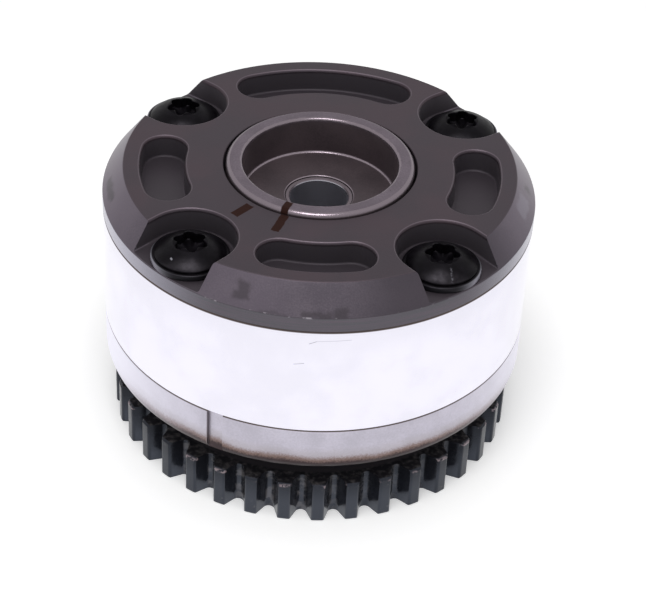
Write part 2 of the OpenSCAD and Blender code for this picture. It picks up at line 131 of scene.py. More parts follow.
class Shells:
    """Collects shells and turns them into one object."""

    def __init__(self) -> None:
        """Starts with no shells."""
        self.bm = bmesh.new()

    def wall(self, rows: Sequence[Ring], closed: bool, loop: bool) -> list[list[bmesh.types.BMVert]]:
        """Joins rows of points, all of one length, with four-sided faces.

        Args:
            rows: Rows of points in metres.
            closed: Joins the last point of each row to its first.
            loop: Joins the last row to the first.

        Returns:
            The corners, row by row.
        """
        grid = [[self.bm.verts.new(p) for p in row] for row in rows]
        count = len(grid[0])
        pairs = list(zip(grid, grid[1:])) + ([(grid[-1], grid[0])] if loop else [])
        for a, b in pairs:
            for i in range(count if closed else count - 1):
                j = (i + 1) % count
                self.bm.faces.new((a[i], a[j], b[j], b[i]))
        return grid

    def skin(self, rings: Sequence[Ring]) -> "Shells":
        """Skins a row of closed rings and puts a face on both ends.

        Args:
            rings: Rings with equal counts of points, in metres.

        Returns:
            The collection itself.
        """
        grid = self.wall(rings, closed=True, loop=False)
        self.bm.faces.new(grid[0][::-1])
        self.bm.faces.new(grid[-1])
        return self

    def revolve(self, profile: Profile) -> "Shells":
        """Turns a closed profile of radii and heights about the axis.

        Args:
            profile: Radii and heights, in order.

        Returns:
            The collection itself.
        """
        turns = [360 * k / TURN for k in range(TURN)]
        self.wall([[at(t, r, z) for r, z in profile] for t in turns], closed=True, loop=True)
        return self

    def drum(self, theta: float, pitch_r: float, r: float, z0: float, z1: float) -> "Shells":
        """Adds a plain round bar parallel to the axis.

        Args:
            theta: Angle of the bar's axis.
            pitch_r: Radius on which the axis stands.
            r: Radius of the bar.
            z0: Height of the lower end.
            z1: Height of the upper end.

        Returns:
            The collection itself.
        """
        middle = at(theta, pitch_r, 0)
        turns = [360 * k / BAR_FACETS for k in range(BAR_FACETS)]
        return self.skin([[middle + at(t, r, z) for t in turns] for z in (z0, z1)])

    def block(self, theta: float, r0: float, r1: float, width: float, z0: float, z1: float) -> "Shells":
        """Adds a box on the ray at an angle, from one radius to another.

        Args:
            theta: Angle of the ray.
            r0: Radius where it starts.
            r1: Radius where it ends.
            width: Width across the ray.
            z0: Height of the lower end.
            z1: Height of the upper end.

        Returns:
            The collection itself.
        """
        turn = Matrix.Rotation(math.radians(theta), 4, "Z")
        half = width / 2
        plan = ((-half, -r0), (-half, -r1), (half, -r1), (half, -r0))
        return self.skin([[turn @ (Vector((x, y, z)) * MM) for x, y in plan] for z in (z0, z1)])

    def sector(self, theta: float, half: float, r0: float, r1: float, z0: float, z1: float) -> "Shells":
        """Adds a slice of a ring, half an angle to each side of a ray.

        Args:
            theta: Angle of the ray.
            half: Angle to each side of it.
            r0: Inner radius.
            r1: Outer radius.
            z0: Height of the lower end.
            z1: Height of the upper end.

        Returns:
            The collection itself.
        """
        steps = max(4, round(2 * half * TURN / 360))
        turns = [theta - half + 2 * half * i / steps for i in range(steps + 1)]
        plan = [(t, r1) for t in turns] + [(t, r0) for t in reversed(turns)]
        return self.skin([[at(t, r, z) for t, r in plan] for z in (z0, z1)])

    def built(self, name: str, outward: bool = True) -> bpy.types.Object:
        """Makes the object.

        Args:
            name: Name of the piece.
            outward: Turns all faces outwards; an open sheet keeps them as they are.

        Returns:
            The new object, linked to the scene.
        """
        if outward:
            bmesh.ops.recalc_face_normals(self.bm, faces=self.bm.faces)
        mesh = bpy.data.meshes.new(name)
        self.bm.to_mesh(mesh)
        self.bm.free()
        return placed(name, mesh)


def placed(name: str, data: bpy.types.ID) -> bpy.types.Object:
    """Links a new object with this mesh, camera or lamp to the scene.

    Args:
        name: Name of the object.
        data: Its mesh, camera or lamp.

    Returns:
        The new object.
    """
    thing = bpy.data.objects.new(name, data)
    bpy.context.scene.collection.objects.link(thing)
    return thing


def made_plain(piece: bpy.types.Object) -> None:
    """Bakes a piece's modifiers into its mesh.

    Args:
        piece: The piece that changes.
    """
    ready = piece.evaluated_get(bpy.context.evaluated_depsgraph_get())
    mesh = bpy.data.meshes.new_from_object(ready)
    piece.modifiers.clear()
    piece.data = mesh


def blended(piece: bpy.types.Object, tools: Sequence[bpy.types.Object], how: Blend) -> None:
    """Cuts tools from a piece, or adds them to it, and removes them.

    Args:
        piece: The piece that changes.
        tools: Closed solids, none of which overlaps itself.
        how: Whether they are cut or added.
    """
    for tool in tools:
        step = piece.modifiers.new(how.name, "BOOLEAN")
        step.solver = "MANIFOLD"
        step.material_mode = "TRANSFER"
        step.operation = how.value
        step.object = tool
    made_plain(piece)
    for tool in tools:
        bpy.data.objects.remove(tool)


def dressed(piece: bpy.types.Object, material: bpy.types.Material) -> None:
    """Gives a whole piece one material."""
    piece.data.materials.clear()
    piece.data.materials.append(material)


def softened(piece: bpy.types.Object, crease: float) -> None:
    """Shades a piece smooth, apart from edges sharper than crease degrees.

    Args:
        piece: The piece that changes.
        crease: Angle past which an edge stays sharp.
    """
    piece.data.shade_smooth()
    piece.data.set_sharp_from_angle(angle=math.radians(crease))
    normals = piece.modifiers.new("face_normals", "WEIGHTED_NORMAL")
    normals.keep_sharp = True
    made_plain(piece)


def seated(piece: bpy.types.Object, body: Body, slot: Slot, *nodes: str) -> None:
    """Rides a finished piece on its body, in place of CAD nodes.

    Args:
        piece: The finished piece.
        body: Body it moves with.
        slot: Record slot of its finish; not used.
        nodes: CAD nodes it stands for.
    """
    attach(piece, body.value)
    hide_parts(*nodes)
    log.info("%s: %d faces on %s", piece.name, len(piece.data.polygons), body.value)


class Shader:
    """One material, with short calls for the nodes used here."""

    def __init__(self, name: str) -> None:
        """Starts a material with one principled shader and coordinates in millimetres.

        Args:
            name: Name of the material.
        """
        self.material = bpy.data.materials.new(name)
        self.material.use_nodes = True
        self.tree = self.material.node_tree
        self.tree.nodes.clear()
        self.surface = self.add("ShaderNodeBsdfPrincipled")
        out = self.add("ShaderNodeOutputMaterial")
        self.tree.links.new(self.surface.outputs[0], out.inputs["Surface"])
        coords = self.add("ShaderNodeTexCoord")
        scale = self.add("ShaderNodeVectorMath", operation="SCALE")
        scale.inputs["Scale"].default_value = 1 / MM
        self.tree.links.new(coords.outputs["Object"], scale.inputs[0])
        self.point = scale.outputs[0]
        split = self.add("ShaderNodeSeparateXYZ")
        self.tree.links.new(self.point, split.inputs[0])
        self.x, self.y, self.z = split.outputs
        tilt = self.add("ShaderNodeSeparateXYZ")
        self.tree.links.new(coords.outputs["Normal"], tilt.inputs[0])
        self.ahead, self.up = tilt.outputs[1], tilt.outputs[2]
        self.r = self.math("POWER", self.sum(self.squared(self.x), self.squared(self.y)), 0.5)
        turn = self.math("ARCTAN2", self.x, self.times(self.y, -1.0))
        self.theta = self.times(turn, math.degrees(1))
        self.aside = self.math("ABSOLUTE", self.theta)

    def add(self, kind: str, **settings: object) -> bpy.types.Node:
        """Adds a node and sets its properties.

        Args:
            kind: Type of the node.
            settings: Properties to set on it.

        Returns:
            The node.
        """
        node = self.tree.nodes.new(kind)
        for name, value in settings.items():
            setattr(node, name, value)
        return node

    def put(self, socket: Socket, value: Union[Colour, Value]) -> None:
        """Links a socket to a value, or sets a constant on it.

        Args:
            socket: Input that is filled.
            value: Output to link, or a constant.
        """
        if isinstance(value, bpy.types.NodeSocket):
            self.tree.links.new(value, socket)
        elif isinstance(value, tuple) and len(socket.default_value) == 4:
            socket.default_value = (*value, 1.0)
        else:
            socket.default_value = value

    def set(self, name: str, value: Union[Colour, Value]) -> None:
        """Sets an input of the principled shader."""
        self.put(self.surface.inputs[name], value)

    def math(self, operation: str, a: Value, b: Value = 0.0) -> Socket:
        """Adds one step of arithmetic.

        Args:
            operation: Kind of step.
            a: First value.
            b: Second value.

        Returns:
            The result.
        """
        node = self.add("ShaderNodeMath", operation=operation)
        self.put(node.inputs[0], a)
        self.put(node.inputs[1], b)
        return node.outputs[0]

    def chain(self, operation: str, values: Sequence[Value]) -> Socket:
        """Runs one kind of arithmetic along a row of values.

        Args:
            operation: Kind of step.
            values: Values, in order.

        Returns:
            The result.
        """
        result = values[0]
        for value in values[1:]:
            result = self.math(operation, result, value)
        return result

    def sum(self, *values: Value) -> Socket:
        """Adds several values."""
        return self.chain("ADD", values)

    def times(self, *values: Value) -> Socket:
        """Multiplies several values."""
        return self.chain("MULTIPLY", values)

    def either(self, *masks: Value) -> Socket:
        """Takes the largest of several masks."""
        return self.chain("MAXIMUM", masks)

    def squared(self, a: Value) -> Socket:
        """Squares a value."""
        return self.times(a, a)

    def rise(self, value: Value, low: float, high: float, first: float = 0.0, last: float = 1.0) -> Socket:
        """Eases from one value to another while the input goes from low to high.

        Args:
            value: The input.
            low: Input at which the change starts.
            high: Input at which it ends; it may be the lower one.
            first: Result at low.
            last: Result at high.

        Returns:
            The eased value.
        """
        if high < low:
            low, high, first, last = high, low, last, first
        node = self.add("ShaderNodeMapRange", interpolation_type="SMOOTHSTEP")
        self.put(node.inputs["Value"], value)
        for name, number in zip(("From Min", "From Max", "To Min", "To Max"), (low, high, first, last)):
            node.inputs[name].default_value = number
        return node.outputs[0]

    def band(self, value: Value, low: float, high: float, soft: float) -> Socket:
        """Gives 1 between two values, with soft ends."""
        return self.times(
            self.rise(value, low - soft, low + soft), self.rise(value, high + soft, high - soft))

    def flanks(self, left: float, right: float, reach: float) -> Socket:
        """Masks both sides of the part, apart from its back, rising over some degrees from two angles.

        Args:
            left: Angle from the front where the left side starts.
            right: Angle from the front where the right side starts.
            reach: Degrees over which each side rises.

        Returns:
            The mask.
        """
        sides = self.either(
            self.rise(self.theta, -left, -left - reach), self.rise(self.theta, right, right + reach))
        return self.times(sides, self.rise(self.aside, *BACK))

    def mix(self, share: Value, a: Colour, b: Colour) -> Socket:
        """Mixes two colours.

        Args:
            share: Share of the second colour.
            a: First colour.
            b: Second colour.

        Returns:
            The mixed colour.
        """
        node = self.add("ShaderNodeMix", data_type="RGBA")
        for place, value in ((0, share), (6, a), (7, b)):
            self.put(node.inputs[place], value)
        return node.outputs[2]

    def mixed(self, share: Value, a: Value, b: Value) -> Socket:
        """Mixes two plain values.

        Args:
            share: Share of the second value.
            a: First value.
            b: Second value.

        Returns:
            The mixed value.
        """
        node = self.add("ShaderNodeMix", data_type="FLOAT")
        for place, value in ((0, share), (2, a), (3, b)):
            self.put(node.inputs[place], value)
        return node.outputs[0]

    def shade(self, value: Value, low: float, high: float, a: Colour, b: Colour) -> Socket:
        """Goes from one colour to another while a value goes from low to high."""
        return self.mix(self.rise(value, low, high), a, b)

    def noise(self, scale: float, detail: float = 3.0, vector: Union[Socket, None] = None) -> Socket:
        """Adds noise with features about 1 / scale millimetres across.

        Args:
            scale: Features to a millimetre.
            detail: Finer layers in them.
            vector: Coordinates; None takes the point itself.

        Returns:
            The noise, a value about 0.5.
        """
        node = self.add("ShaderNodeTexNoise")
        self.put(node.inputs["Vector"], vector or self.point)
        node.inputs["Scale"].default_value = scale
        node.inputs["Detail"].default_value = detail
        return node.outputs[0]

    def ragged(self, scale: float, detail: float, low: float, high: float) -> Socket:
        """Adds noise that wanders between two values."""
        return self.rise(self.noise(scale, detail), *NOISE, low, high)

    def clouds(self, first: Pair, second: Pair, share: float) -> Socket:
        """Mixes two noises, each a scale and a detail, with a share of the first."""
        return self.sum(self.times(self.noise(*first), share), self.times(self.noise(*second), 1 - share))

    def turned(self, across: float, around: float, detail: float) -> Socket:
        """Adds noise drawn out round the axis, as a lathe leaves it.

        Args:
            across: Features to a millimetre along the axis.
            around: Features to a millimetre round it.
            detail: Finer layers in them.

        Returns:
            The noise, a value about 0.5.
        """
        node = self.add("ShaderNodeCombineXYZ")
        for socket, value, scale in zip(node.inputs, (self.z, self.x, self.y), (across, around, around)):
            self.put(socket, self.times(value, scale))
        return self.noise(1.0, detail, node.outputs[0])

    def bump(self, height: Value, depth: float) -> None:
        """Roughens the surface with a height map, depth millimetres at full height.

        Args:
            height: The height map.
            depth: Millimetres at full height.
        """
        node = self.add("ShaderNodeBump")
        node.inputs["Strength"].default_value = 1.0
        node.inputs["Distance"].default_value = depth * MM
        self.put(node.inputs["Height"], height)
        self.put(self.surface.inputs["Normal"], node.outputs[0])

    def stroke(self, a: Pair, b: Pair, u: Value, v: Value, width: float, soft: float) -> Socket:
        """Masks a straight stroke on a flat chart of the surface.

        Args:
            a: Chart coordinates of its first end.
            b: Chart coordinates of its last end.
            u: First chart coordinate.
            v: Second chart coordinate.
            width: Width of the stroke.
            soft: Half width of its blurred edge.

        Returns:
            The mask.
        """
        length = math.dist(a, b)
        du, dv = (b[0] - a[0]) / length, (b[1] - a[1]) / length
        pu, pv = self.sum(u, -a[0]), self.sum(v, -a[1])
        along = self.sum(self.times(pu, du), self.times(pv, dv))
        across = self.sum(self.times(pu, -dv), self.times(pv, du))
        return self.times(self.band(across, -width / 2, width / 2, soft), self.band(along, 0, length, soft))

    def paint_stroke(self, theta: float, r0: float, r1: float, width: float) -> Socket:
        """Masks a stroke of paint along a ray, from one radius to another.

        Args:
            theta: Angle of the ray.
            r0: Radius where it starts.
            r1: Radius where it ends.
            width: Width of the stroke.

        Returns:
            The mask.
        """
        t = math.radians(theta)
        a, b = ((r * math.sin(t), -r * math.cos(t)) for r in (r0, r1))
        wobble = self.ragged(0.8, 2.0, -0.12, 0.12)
        return self.stroke(a, b, self.sum(self.x, wobble), self.sum(self.y, wobble), width, 0.1)

    def patch(self, theta: float, z: float, span: float, height: float, r: float) -> Socket:
        """Masks a ragged spot on a round wall.

        Args:
            theta: Angle of its middle.
            z: Height of its middle.
            span: Its width along the wall.
            height: Its height.
            r: Radius of the wall.

        Returns:
            The mask.
        """
        wobble = self.ragged(0.45, 3.0, -0.5, 0.5)
        across = self.sum(self.times(self.sum(self.theta, -theta), math.radians(r)), wobble)
        along = self.sum(self.z, -z, self.times(wobble, 0.6))
        return self.times(
            self.band(across, -span / 2, span / 2, 0.8), self.band(along, -height / 2, height / 2, 0.5))


@dataclass(frozen=True, kw_only=True)
class Finish:
    """A named surface finish."""

    name: str

    def material(self) -> bpy.types.Material:
        """Makes the finish."""
        raise NotImplementedError


@dataclass(frozen=True, kw_only=True)
class SinteredFinish(Finish):
    """Steam-oxidised sintered steel: dark and fine-grained, here and there with a stroke of paint."""

    paint: Rgb = srgb(46, 27, 23)
    gloss: float = 0.2
    paint_gloss: float = 0.03

    def grain(self, s: Shader) -> Socket:
        """Mixes coarse and fine grain into one value about 0.5."""
        return s.clouds((0.07, 3.0), (2.6, 4.0), 0.65)

    def painted(self, s: Shader, colour: Socket, metal: Socket, strokes: Socket) -> None:
        """Sets colour and metal, with paint where the strokes are, and the grain's relief.

        Args:
            s: The shader that it is part of.
            colour: Colour without paint.
            metal: Metal share without paint.
            strokes: Where the paint is.
        """
        s.set("Base Color", s.mix(strokes, colour, self.paint))
        s.set("Metallic", s.mixed(strokes, metal, 0.0))
        s.set("Specular IOR Level", s.mixed(strokes, self.gloss, self.paint_gloss))
        s.bump(s.noise(3.4, 3.0), 0.02)


@dataclass(frozen=True, kw_only=True)
class CoverFinish(SinteredFinish):
    """The front cover: dull faces, sparkling bevel, turned strip, smudges and paint strokes.

    Attributes:
        rim_r: Radius where the bevel leaves the top face.
        top_z: Height of the top face.
        strip_z: Height where the bevel ends in the turned strip.
        joint_z: Height of the joint under the cover.
        chart_r: Radius on which the widths of smudges are measured.
        strokes: Paint strokes, as angle, inner radius, outer radius and width.
        smudges: Dark spots, as angle, height above the strip, width and height.
        smear: One pale spot, given in the same way.
    """

    name: str = "sintered_steel_cover"
    rim_r: float
    top_z: float
    strip_z: float
    joint_z: float
    chart_r: float = 48.0
    strokes: Marks = ((-40.2, 23.4, 28.8, 2.2), (-18.9, 22.4, 29.0, 2.0))
    smudges: Marks = (
        (-18.6, 3.2, 3.3, 3.4), (-9.7, 0.15, 6.6, 0.35), (1.0, 0.55, 7.2, 1.2),
        (7.2, 0.9, 3.1, 1.9), (-80.0, 2.3, 9.0, 1.6), (88.0, 2.8, 2.4, 2.0))
    smear: tuple[float, ...] = (79.0, 3.6, 7.0, 3.0)
    brown: Rgb = srgb(75, 65, 71)
    grey: Rgb = srgb(68, 61, 67)
    # Pocket floor colour: a painted shade, darker than the face.
    hollow: Rgb = srgb(65, 59, 65)
    # Pocket wall colour: a painted light, paler than the face.
    wall: Rgb = srgb(76, 71, 77)
    # Pocket mouth colour: worn edges with a painted highlight.
    edge: Rgb = srgb(96, 87, 94)
    bevel: Rgb = srgb(84, 78, 86)
    sparkle: Rgb = srgb(96, 89, 97)
    # Paler bevel tone; at the sides it is a painted reflection.
    pale: Rgb = srgb(108, 99, 110)
    dim: Rgb = srgb(68, 63, 69)
    strip: Rgb = srgb(88, 87, 92)
    # Painted reflection on the strip's sides; also the colour of the one pale smear.
    bright: Rgb = srgb(172, 170, 183)
    smudge: Rgb = srgb(62, 58, 62)
    seam: Rgb = srgb(44, 38, 37)
    worn: Rgb = srgb(176, 170, 178)

    def spot(self, s: Shader, theta: float, rise: float, span: float, height: float) -> Socket:
        """Masks one ragged spot on the bevel."""
        return s.patch(theta, self.strip_z + rise, span, height, self.chart_r)

    def bevelled(self, s: Shader, colour: Socket, bevel: Socket) -> Socket:
        """Lays the bevel over a colour: sparkling, duller front right, paler at the sides as a painted
        reflection, smudged.

        Args:
            s: The shader that it is part of.
            colour: Colour under the bevel's.
            bevel: Where the bevel is.

        Returns:
            The colour with the bevel.
        """
        slope = s.shade(s.clouds((2.8, 3.0), (0.12, 4.0), 0.5), 0.38, 0.66, self.bevel, self.sparkle)
        slope = s.mix(s.times(s.band(s.theta, 14.0, 62.0, 10.0), 0.75), slope, self.dim)
        slope = s.mix(s.times(s.band(s.theta, -34.0, -8.0, 8.0), 0.4), slope, self.pale)
        # Painted reflection: the bevel pales towards both sides.
        colour = s.mix(bevel, colour, s.mix(s.flanks(45.0, 48.0, 40.0), slope, self.pale))
        dark = s.either(*(self.spot(s, *spot) for spot in self.smudges))
        colour = s.mix(s.times(bevel, dark, 0.6), colour, self.smudge)
        return s.mix(s.times(bevel, self.spot(s, *self.smear), 0.16), colour, self.bright)

    def banded(self, s: Shader, colour: Socket, strip: Socket) -> Socket:
        """Lays the turned strip over a colour, paler at the sides as a painted reflection, with the dark seam
        at its foot.

        Args:
            s: The shader that it is part of.
            colour: Colour under the strip's.
            strip: Where the strip is.

        Returns:
            The colour with the strip.
        """
        polished = s.shade(s.turned(4.0, 0.06, 2.0), *NOISE, self.strip, self.sparkle)
        # Painted reflection: the turned strip pales towards both sides.
        colour = s.mix(strip, colour, s.mix(s.flanks(22.0, 37.0, 46.0), polished, self.bright))
        foot = s.times(strip, s.rise(s.z, self.joint_z + 0.34, self.joint_z + 0.2))
        return s.mix(foot, colour, self.seam)

    def material(self) -> bpy.types.Material:
        """Makes the cover's finish.

        Returns:
            The material.
        """
        s = Shader(self.name)
        grain = self.grain(s)
        colour = s.shade(grain, 0.4, 0.6, self.grey, self.brown)
        # Pockets: floors get a painted shade and walls a paler painted light.
        sunk = s.rise(s.z, self.top_z - 0.7, self.top_z - 1.1)
        colour = s.mix(sunk, colour, s.shade(s.up, 0.3, 0.8, self.wall, self.hollow))
        # Pocket mouths: worn edges, paler as a painted highlight on their rounds.
        lip = s.times(s.band(s.up, 0.78, 0.95, 0.04), s.rise(s.z, self.top_z - 0.6, self.top_z - 0.25))
        colour = s.mix(lip, colour, self.edge)
        bevel = s.times(s.rise(s.r, self.rim_r - 0.05, self.rim_r + 0.1), s.band(s.up, 0.45, 0.8, 0.08))
        colour = self.bevelled(s, colour, bevel)
        strip = s.times(s.rise(s.r, self.rim_r + 3.5, self.rim_r + 4.0), s.rise(s.up, 0.4, 0.2))
        colour = self.banded(s, colour, strip)
        rubbed = s.times(
            s.rise(s.r, self.rim_r + 4.3, self.rim_r + 4.5),
            s.band(s.z, self.strip_z - 0.08, self.strip_z + 0.22, 0.08),
            s.rise(s.noise(0.5, 4.0), 0.58, 0.68), s.rise(s.aside, 40.0, 20.0), 0.6)
        colour = s.mix(rubbed, colour, self.worn)
        strokes = s.either(*(s.paint_stroke(*stroke) for stroke in self.strokes))
        metal = s.mixed(s.either(strip, bevel), s.mixed(sunk, 0.8, 0.3), 1.0)
        self.painted(s, colour, metal, s.times(strokes, s.rise(s.up, 0.7, 0.9)))
        dull = s.rise(grain, *NOISE, 0.44, 0.56)
        s.set("Roughness", s.mixed(strip, s.mixed(bevel, dull, 0.36), 0.26))
        return s.material


@dataclass(frozen=True, kw_only=True)
class RotorFinish(SinteredFinish):
    """The rotor: ground ring, oxidised cup, drilled bore.

    Attributes:
        ring_z: Height of the ring's face.
        cup_r: Radius of the cup.
        bore_r: Radius of the cam-bolt bore.
        lip_r: Radius of the step round the bore.
        floor_z: Height of the cup's floor.
        stroke: The paint stroke, as angle, inner radius, outer radius and width.
    """

    name: str = "sintered_steel_rotor"
    ring_z: float
    cup_r: float
    bore_r: float
    lip_r: float
    floor_z: float
    stroke: tuple[float, ...] = (-20.4, 18.4, 22.3, 1.8)
    cup: tuple[Rgb, Rgb] = (srgb(78, 69, 73), srgb(92, 81, 85))
    ring: tuple[Rgb, Rgb] = (srgb(98, 89, 97), srgb(112, 102, 111))
    # Painted highlight on the cup's mouth.
    mouth: tuple[Rgb, Rgb] = (srgb(104, 95, 102), srgb(128, 117, 125))
    pit: Rgb = srgb(52, 44, 46)
    # Painted highlight on the ring's rounded edges.
    round_edge: Rgb = srgb(124, 114, 121)
    # Painted highlight on the cup's foot fillet and the lip round the bore.
    fillet: Rgb = srgb(144, 132, 140)
    step: Rgb = srgb(118, 108, 114)
    # Painted shade in the groove round the bore's step.
    seam: Rgb = srgb(20, 17, 18)
    drilled: Rgb = srgb(166, 165, 174)

    def ringed(self, s: Shader, colour: Socket, ground: Socket) -> Socket:
        """Lays the ground ring over a colour: pitted on its face, with a painted highlight round the cup's
        mouth.

        Args:
            s: The shader that it is part of.
            colour: Colour under the ring's.
            ground: Where the ring is.

        Returns:
            The colour with the ring.
        """
        speckle = s.clouds((2.2, 4.0), (0.15, 2.0), 0.55)
        colour = s.mix(ground, colour, s.shade(speckle, 0.36, 0.66, *self.ring))
        pits = s.times(s.rise(s.noise(0.9, 2.0), 0.71, 0.76), s.rise(s.up, 0.9, 0.98), ground)
        colour = s.mix(pits, colour, self.pit)
        # Painted highlight: the cup's mouth is paler.
        mouth = s.times(ground, s.rise(s.r, self.cup_r + 0.75, self.cup_r + 0.55))
        return s.mix(mouth, colour, s.shade(s.noise(0.8, 4.0), 0.4, 0.62, *self.mouth))

    def material(self) -> bpy.types.Material:
        """Makes the rotor's finish.

        Returns:
            The material.
        """
        s = Shader(self.name)
        grain = self.grain(s)
        floor = self.floor_z
        ground = s.rise(s.z, self.ring_z - 1.1, self.ring_z - 0.3)
        colour = self.ringed(s, s.shade(grain, 0.36, 0.64, *self.cup), ground)
        # Painted highlight: the ring's rounded edges are paler.
        rounded = s.times(ground, s.band(s.up, 0.3, 0.97, 0.02))
        colour = s.mix(rounded, colour, self.round_edge)
        # Painted highlight: the cup's foot fillet and the bore's lip are paler.
        fillet = s.times(s.band(s.up, 0.3, 0.95, 0.05), s.rise(s.z, floor + 0.9, floor + 0.5))
        colour = s.mix(fillet, colour, self.fillet)
        step = s.times(
            s.rise(s.z, floor - 0.3, floor - 0.34), s.rise(s.r, self.lip_r - 0.05, self.lip_r - 0.15))
        colour = s.mix(step, colour, self.step)
        # Painted shade: a dark line in the groove round the bore's step.
        seam = s.times(
            s.band(s.r, self.lip_r - 0.14, self.lip_r + 0.05, 0.03), s.rise(s.z, floor - 0.16, floor - 0.24))
        colour = s.mix(seam, colour, self.seam)
        drilled = s.times(
            s.rise(s.r, self.bore_r + 0.2, self.bore_r + 0.05), s.rise(s.z, floor - 0.4, floor - 0.7))
        colour = s.mix(drilled, colour, self.drilled)
        stroke = s.times(s.paint_stroke(*self.stroke), s.rise(s.z, self.ring_z - 1.6, self.ring_z - 1.0))
        self.painted(s, colour, s.mixed(s.either(ground, drilled), 0.5, 0.95), stroke)
        s.set("Roughness", s.mixed(s.either(fillet, rounded), s.rise(grain, *NOISE, 0.42, 0.54), 0.22))
        return s.material


@dataclass(frozen=True, kw_only=True)
class SteelFinish(Finish):
    """Bare steel, from mirror bright to satin."""

    colour: Rgb
    polish: float
    streak: float = 0.04

    def base(self) -> Shader:
        """Starts the steel with fine turning marks round the axis.

        Returns:
            The shader, without a colour.
        """
        s = Shader(self.name)
        lines = s.turned(9.0, 0.03, 3.0)
        s.set("Metallic", 1.0)
        s.set("Roughness", s.rise(lines, *NOISE, self.polish, self.polish + self.streak))
        s.bump(lines, 0.001)
        return s

    def scaled(self, share: float) -> Rgb:
        """Gives the steel's colour, lighter or darker."""
        return tuple(min(1.0, c * share) for c in self.colour)

    def material(self) -> bpy.types.Material:
        """Makes the steel with only a faint cloudiness.

        Returns:
            The material.
        """
        s = self.base()
        s.set("Base Color", s.shade(s.noise(0.12), *NOISE, self.colour, self.scaled(1.06)))
        return s.material


@dataclass(frozen=True, kw_only=True)
class HousingFinish(SteelFinish):
    """Bright ground housing, with handling scratches, dark joints and painted shade towards its upper edge.

    Attributes:
        r: Outer radius.
        low: Height of the lower joint.
        high: Height of the upper joint.
        scratches: Both ends, as length along the wall and height above the upper joint, and the width.
    """

    name: str = "bright_housing"
    colour: Rgb = srgb(237, 235, 246)
    polish: float = 0.1
    r: float
    low: float
    high: float
    scratches: tuple[tuple[Pair, Pair, float], ...] = (
        ((-0.65, -3.1), (1.04, -2.35), 0.14), ((1.04, -2.35), (8.55, -2.05), 0.07),
        ((-3.8, -8.95), (-1.5, -8.55), 0.13))
    scratch: Rgb = srgb(96, 94, 102)
    seam: Rgb = srgb(84, 74, 72)

    def material(self) -> bpy.types.Material:
        """Makes the housing's finish.

        Returns:
            The material.
        """
        s = self.base()
        cloud = s.clouds((0.05, 2.0), (0.16, 4.0), 0.6)
        colour = s.shade(cloud, 0.38, 0.62, self.scaled(0.955), self.scaled(1.03))
        # Painted shade: the housing darkens towards its upper edge.
        colour = s.mix(s.rise(s.z, self.high - 9.0, self.high, 0.0, 0.75), colour, self.scaled(0.92))
        girth, height = s.times(s.theta, math.radians(self.r)), s.sum(s.z, -self.high)
        marks = s.either(*(s.stroke(a, b, girth, height, width, 0.07) for a, b, width in self.scratches))
        colour = s.mix(s.times(marks, 0.65), colour, self.scratch)
        joint = s.either(
            s.rise(s.z, self.low + 0.28, self.low + 0.16), s.rise(s.z, self.high - 0.34, self.high - 0.2))
        outside = s.rise(s.r, self.r - 0.6, self.r - 0.4)
        s.set("Base Color", s.mix(s.times(joint, outside), colour, self.seam))
        return s.material


@dataclass(frozen=True, kw_only=True)
class FlangeFinish(SteelFinish):
    """Satin flange, with a brown heat tint along its lower edge.

    Attributes:
        foot: Height of its lower edge.
        top: Height of its upper edge.
        groove: Angle of the timing groove's shaded wall, where a line of painted shade lies.
        stains: Heat tints, as the heights above the foot where each starts and is full, its share and colour.
    """

    name: str = "satin_flange"
    colour: Rgb = srgb(188, 184, 196)
    polish: float = 0.3
    streak: float = 0.08
    foot: float
    top: float
    groove: float
    stains: tuple[tuple[float, float, float, Rgb], ...] = (
        (7.2, 4.6, 0.45, srgb(160, 152, 154)), (4.9, 3.2, 0.82, srgb(110, 84, 70)),
        (3.5, 2.2, 0.92, srgb(50, 42, 46)))
    # Painted reflection on the flange's sides.
    bright: Rgb = srgb(238, 236, 248)
    # Painted shade on the timing groove's wall.
    groove_shade: Rgb = srgb(122, 116, 120)
    seam: Rgb = srgb(92, 82, 80)

    def material(self) -> bpy.types.Material:
        """Makes the flange's finish.

        Returns:
            The material.
        """
        s = self.base()
        cloud = s.clouds((0.16, 4.0), (2.2, 3.0), 0.6)
        colour = s.shade(cloud, 0.34, 0.66, self.scaled(0.9), self.scaled(1.08))
        # Painted reflection: the flange pales towards both sides.
        colour = s.mix(s.flanks(18.0, 34.0, 56.0), colour, self.bright)
        fringe = s.sum(s.z, s.ragged(0.1, 3.0, -0.5, 0.1), s.ragged(3.0, 3.0, -0.3, 0.3))
        # The heat tint fades towards the sides under the painted reflection.
        tinted = s.sum(1.0, s.times(s.flanks(18.0, 27.0, 54.0), -1.0))
        for start, end, share, stain in self.stains:
            depth = s.rise(fringe, self.foot + start, self.foot + end, 0.0, share)
            colour = s.mix(s.times(tinted, depth), colour, stain)
        # Painted shade: a darker line along the timing groove's wall.
        colour = s.mix(s.band(s.theta, self.groove - 0.1, self.groove + 0.06, 0.05), colour, self.groove_shade)
        s.set("Base Color", s.shade(s.z, self.top - 0.28, self.top - 0.16, colour, self.seam))
        return s.material


